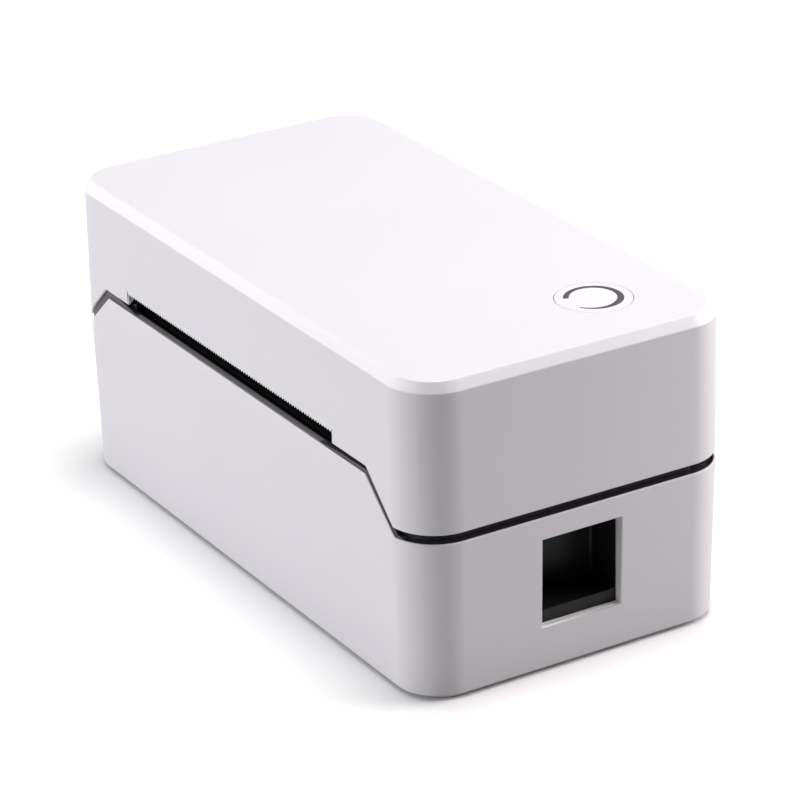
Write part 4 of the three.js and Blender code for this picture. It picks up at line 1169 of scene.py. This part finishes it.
def camera():
    """The camera, fitted to the photograph's viewpoint."""
    back = aim(59.222, 23.907)
    right = (-back).cross(Z).normalized()
    up = right.cross(-back)
    roll = math.radians(-1.52)
    camera_x = right * math.cos(roll) + up * math.sin(roll)
    camera_y = up * math.cos(roll) - right * math.sin(roll)
    target, distance, across, down = Vector((0, 0, 47.24)), 1051.24, 3.172, 4.535
    place = target + back * distance + camera_x * across - camera_y * down
    data = bpy.data.cameras.new("camera")
    data.sensor_width = 36
    data.lens = 162.32
    data.clip_start, data.clip_end = 0.05, 50
    obj = linked("camera", data)
    turn = Matrix((camera_x, camera_y, back)).transposed().to_4x4()
    obj.matrix_world = Matrix.Translation(place * MM) @ turn
    bpy.context.scene.camera = obj


def softbox(name, azimuth, elevation, width, height, power, colour, distance=1.5):
    """A rectangular lamp in metres and watts that faces the printer from the direction given."""
    data = bpy.data.lights.new(name, "AREA")
    data.shape = "RECTANGLE"
    data.size, data.size_y = width, height
    data.energy = power
    data.color = colour
    direction = aim(azimuth, elevation)
    turn = direction.to_track_quat("Z", "Y").to_matrix().to_4x4()
    place = Matrix.Translation(Vector((0, 0, 0.05)) + direction * distance)
    linked(name, data).matrix_world = place @ turn


def studio():
    """Five soft lamps, a faint white surround and a plain pale floor."""
    world = bpy.context.scene.world or bpy.data.worlds.new("studio")
    bpy.context.scene.world = world
    world.use_nodes = True
    background = world.node_tree.nodes["Background"]
    background.inputs["Color"].default_value = (1, 1, 1, 1)
    background.inputs["Strength"].default_value = 0.01
    softbox("overhead", 180, 86, 0.6, 0.6, 22.0, (1, 0.989, 0.984), distance=1.6)
    softbox("low_left", -30, 5, 0.8, 0.4, 8.9, (0.995, 0.982, 1))
    softbox("far_left", -70, 20, 0.8, 0.8, 5.2, (0.995, 0.982, 1))
    softbox("front", 0, 20, 0.8, 0.8, 6.2, (0.995, 0.982, 1))
    softbox("right_back", 155, 20, 0.5, 0.5, 5.9, (1, 0.935, 0.945), distance=0.8)

    bm = bmesh.new()
    bmesh.ops.create_circle(bm, cap_ends=True, segments=64, radius=9000)
    floor = new_object("floor", bm)
    material = bpy.data.materials.new("floor_paper")
    material.use_nodes = True
    nodes, links = material.node_tree.nodes, material.node_tree.links
    shader = nodes["Principled BSDF"]
    shader.inputs["Roughness"].default_value = 0.9
    shader.inputs["Specular IOR Level"].default_value = 0.1
    seen = nodes.new("ShaderNodeLightPath").outputs["Is Camera Ray"]
    links.new(ranged(material.node_tree, seen, 0.45, 1.0), shader.inputs["Base Color"])
    floor.data.materials.append(material)
    bpy.context.scene.view_settings.view_transform = "Standard"


# ---------------------------------------------------------------- carried-over CAD nodes

def cad_shading():
    """A node group that joins a CAD mesh's split corners and turns on smooth shading."""
    group = bpy.data.node_groups.new("cad_shading", "GeometryNodeTree")
    group.interface.new_socket("Geometry", in_out="INPUT", socket_type="NodeSocketGeometry")
    group.interface.new_socket("Geometry", in_out="OUTPUT", socket_type="NodeSocketGeometry")
    nodes, links = group.nodes, group.links
    enter, leave = nodes.new("NodeGroupInput"), nodes.new("NodeGroupOutput")
    merge = nodes.new("GeometryNodeMergeByDistance")
    merge.inputs["Distance"].default_value = 1e-6
    highlight_tint = nodes.new("GeometryNodeRemoveAttribute")
    highlight_tint.inputs["Name"].default_value = "custom_normal"
    smooth = nodes.new("GeometryNodeSetShadeSmooth")
    links.new(enter.outputs[0], merge.inputs["Geometry"])
    links.new(merge.outputs["Geometry"], highlight_tint.inputs["Geometry"])
    links.new(highlight_tint.outputs["Geometry"], smooth.inputs["Geometry"])
    links.new(smooth.outputs["Geometry"], leave.inputs[0])
    return group


CAD_SHADING = cad_shading()


def carry_over(material, node):
    """Gives a CAD node its finish and smooth shading."""
    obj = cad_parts[node]
    for place in obj.material_slots:
        place.material = material
    obj.modifiers.new("shading", "NODES").node_group = CAD_SHADING
    return obj


def dress(material, *nodes):
    """Gives carried-over CAD nodes their finish, with small rounds on their edges."""
    for node in nodes:
        soften(carry_over(material, node), 0.2, 2, 34)


def dress_spring(node):
    """Gives a carried-over coil of square-sided wire a round section."""
    rounder = carry_over(STEEL, node).modifiers.new("round", "SUBSURF")
    rounder.levels = rounder.render_levels = 2


def head_coil(index):
    """A compression spring above the printhead, with closed end turns."""
    node = f"head_spring_{index}"
    low, high = box_mm(node)
    wire, turns, end_rise, steps = 0.4, 3, 0.86, 24
    radius, climb = (high.x - low.x) / 2 - wire, high.z - low.z - 2 * wire
    axis = Vector(((low.x + high.x) / 2, (low.y + high.y) / 2, low.z + wire))
    rows = []
    for step in range(turns * steps + 1):
        turn = step / steps
        if turn < 1:
            height = end_rise * turn
        elif turn > turns - 1:
            height = climb - end_rise * (turns - turn)
        else:
            height = end_rise + (climb - 2 * end_rise) * (turn - 1) / (turns - 2)
        out = Vector((math.cos(math.tau * turn), math.sin(math.tau * turn), 0))
        middle = axis + out * radius + Z * height
        rows.append([middle + out * x + Z * y for x, y in circle(wire, 10)])
    bm = bmesh.new()
    verts = grid(bm, rows)
    bm.faces.new(verts[0])
    bm.faces.new(verts[-1])
    coil = fit(soften(new_object(f"head_coil_{index}", bm), 0), "lid", STEEL, node)
    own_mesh(coil)


# ---------------------------------------------------------------- the whole printer

lid_case()
base_case()
button()
tear_teeth()
exit_cheeks()
front_strip()
for side, end in ENDS:
    recess(side, end)
for side, end in ENDS:
    window_collar(side, end)
gear_train()
guide_wheel()
platen()
motor()
dc_inlet()
usb_port()
rocker()
heater_strip()
board_parts()
for index in (1, 2):
    head_coil(index)
for row in ("front", "rear"):
    for end in ("left", "right"):
        foot(f"foot_pad_{row}_{end}", f"foot_{row}_{end}")
        screw(f"base_screw_{row}_{end}", f"case_screw_{row}_{end}", "base", 2.7, 1.3)
for index in (1, 2, 3, 4):
    screw(f"liner_screw_{index}", f"lid_screw_{index}", "lid", 2.2, 1.1)
dress(RIM_GREY, "chassis_frame")
# The exit guide takes the painted shade black, so the slot reads as deep shade.
dress(SHADE_BLACK, "exit_guide")
dress(BLACK, "paper_bed", "lid_liner", "rear_panel", "switch_housing", "button_switch")
dress(GREY, "bottom_plate", "gap_sensor")
dress(ZINC, "head_bracket")
dress(STEEL, "idler_axle")
dress(BOARD, "main_board", "button_board")
dress(ALUMINIUM, "head_heatsink")
for _, end in ENDS:
    dress(ZINC, f"cheek_{end}")
    dress(ACETAL, f"platen_bush_{end}")
    dress(STEEL, f"latch_pin_{end}", f"hinge_pin_{end}")
    dress(GREY, f"guide_{end}", f"latch_lever_{end}")
    dress_spring(f"latch_spring_{end}")
camera()
studio()
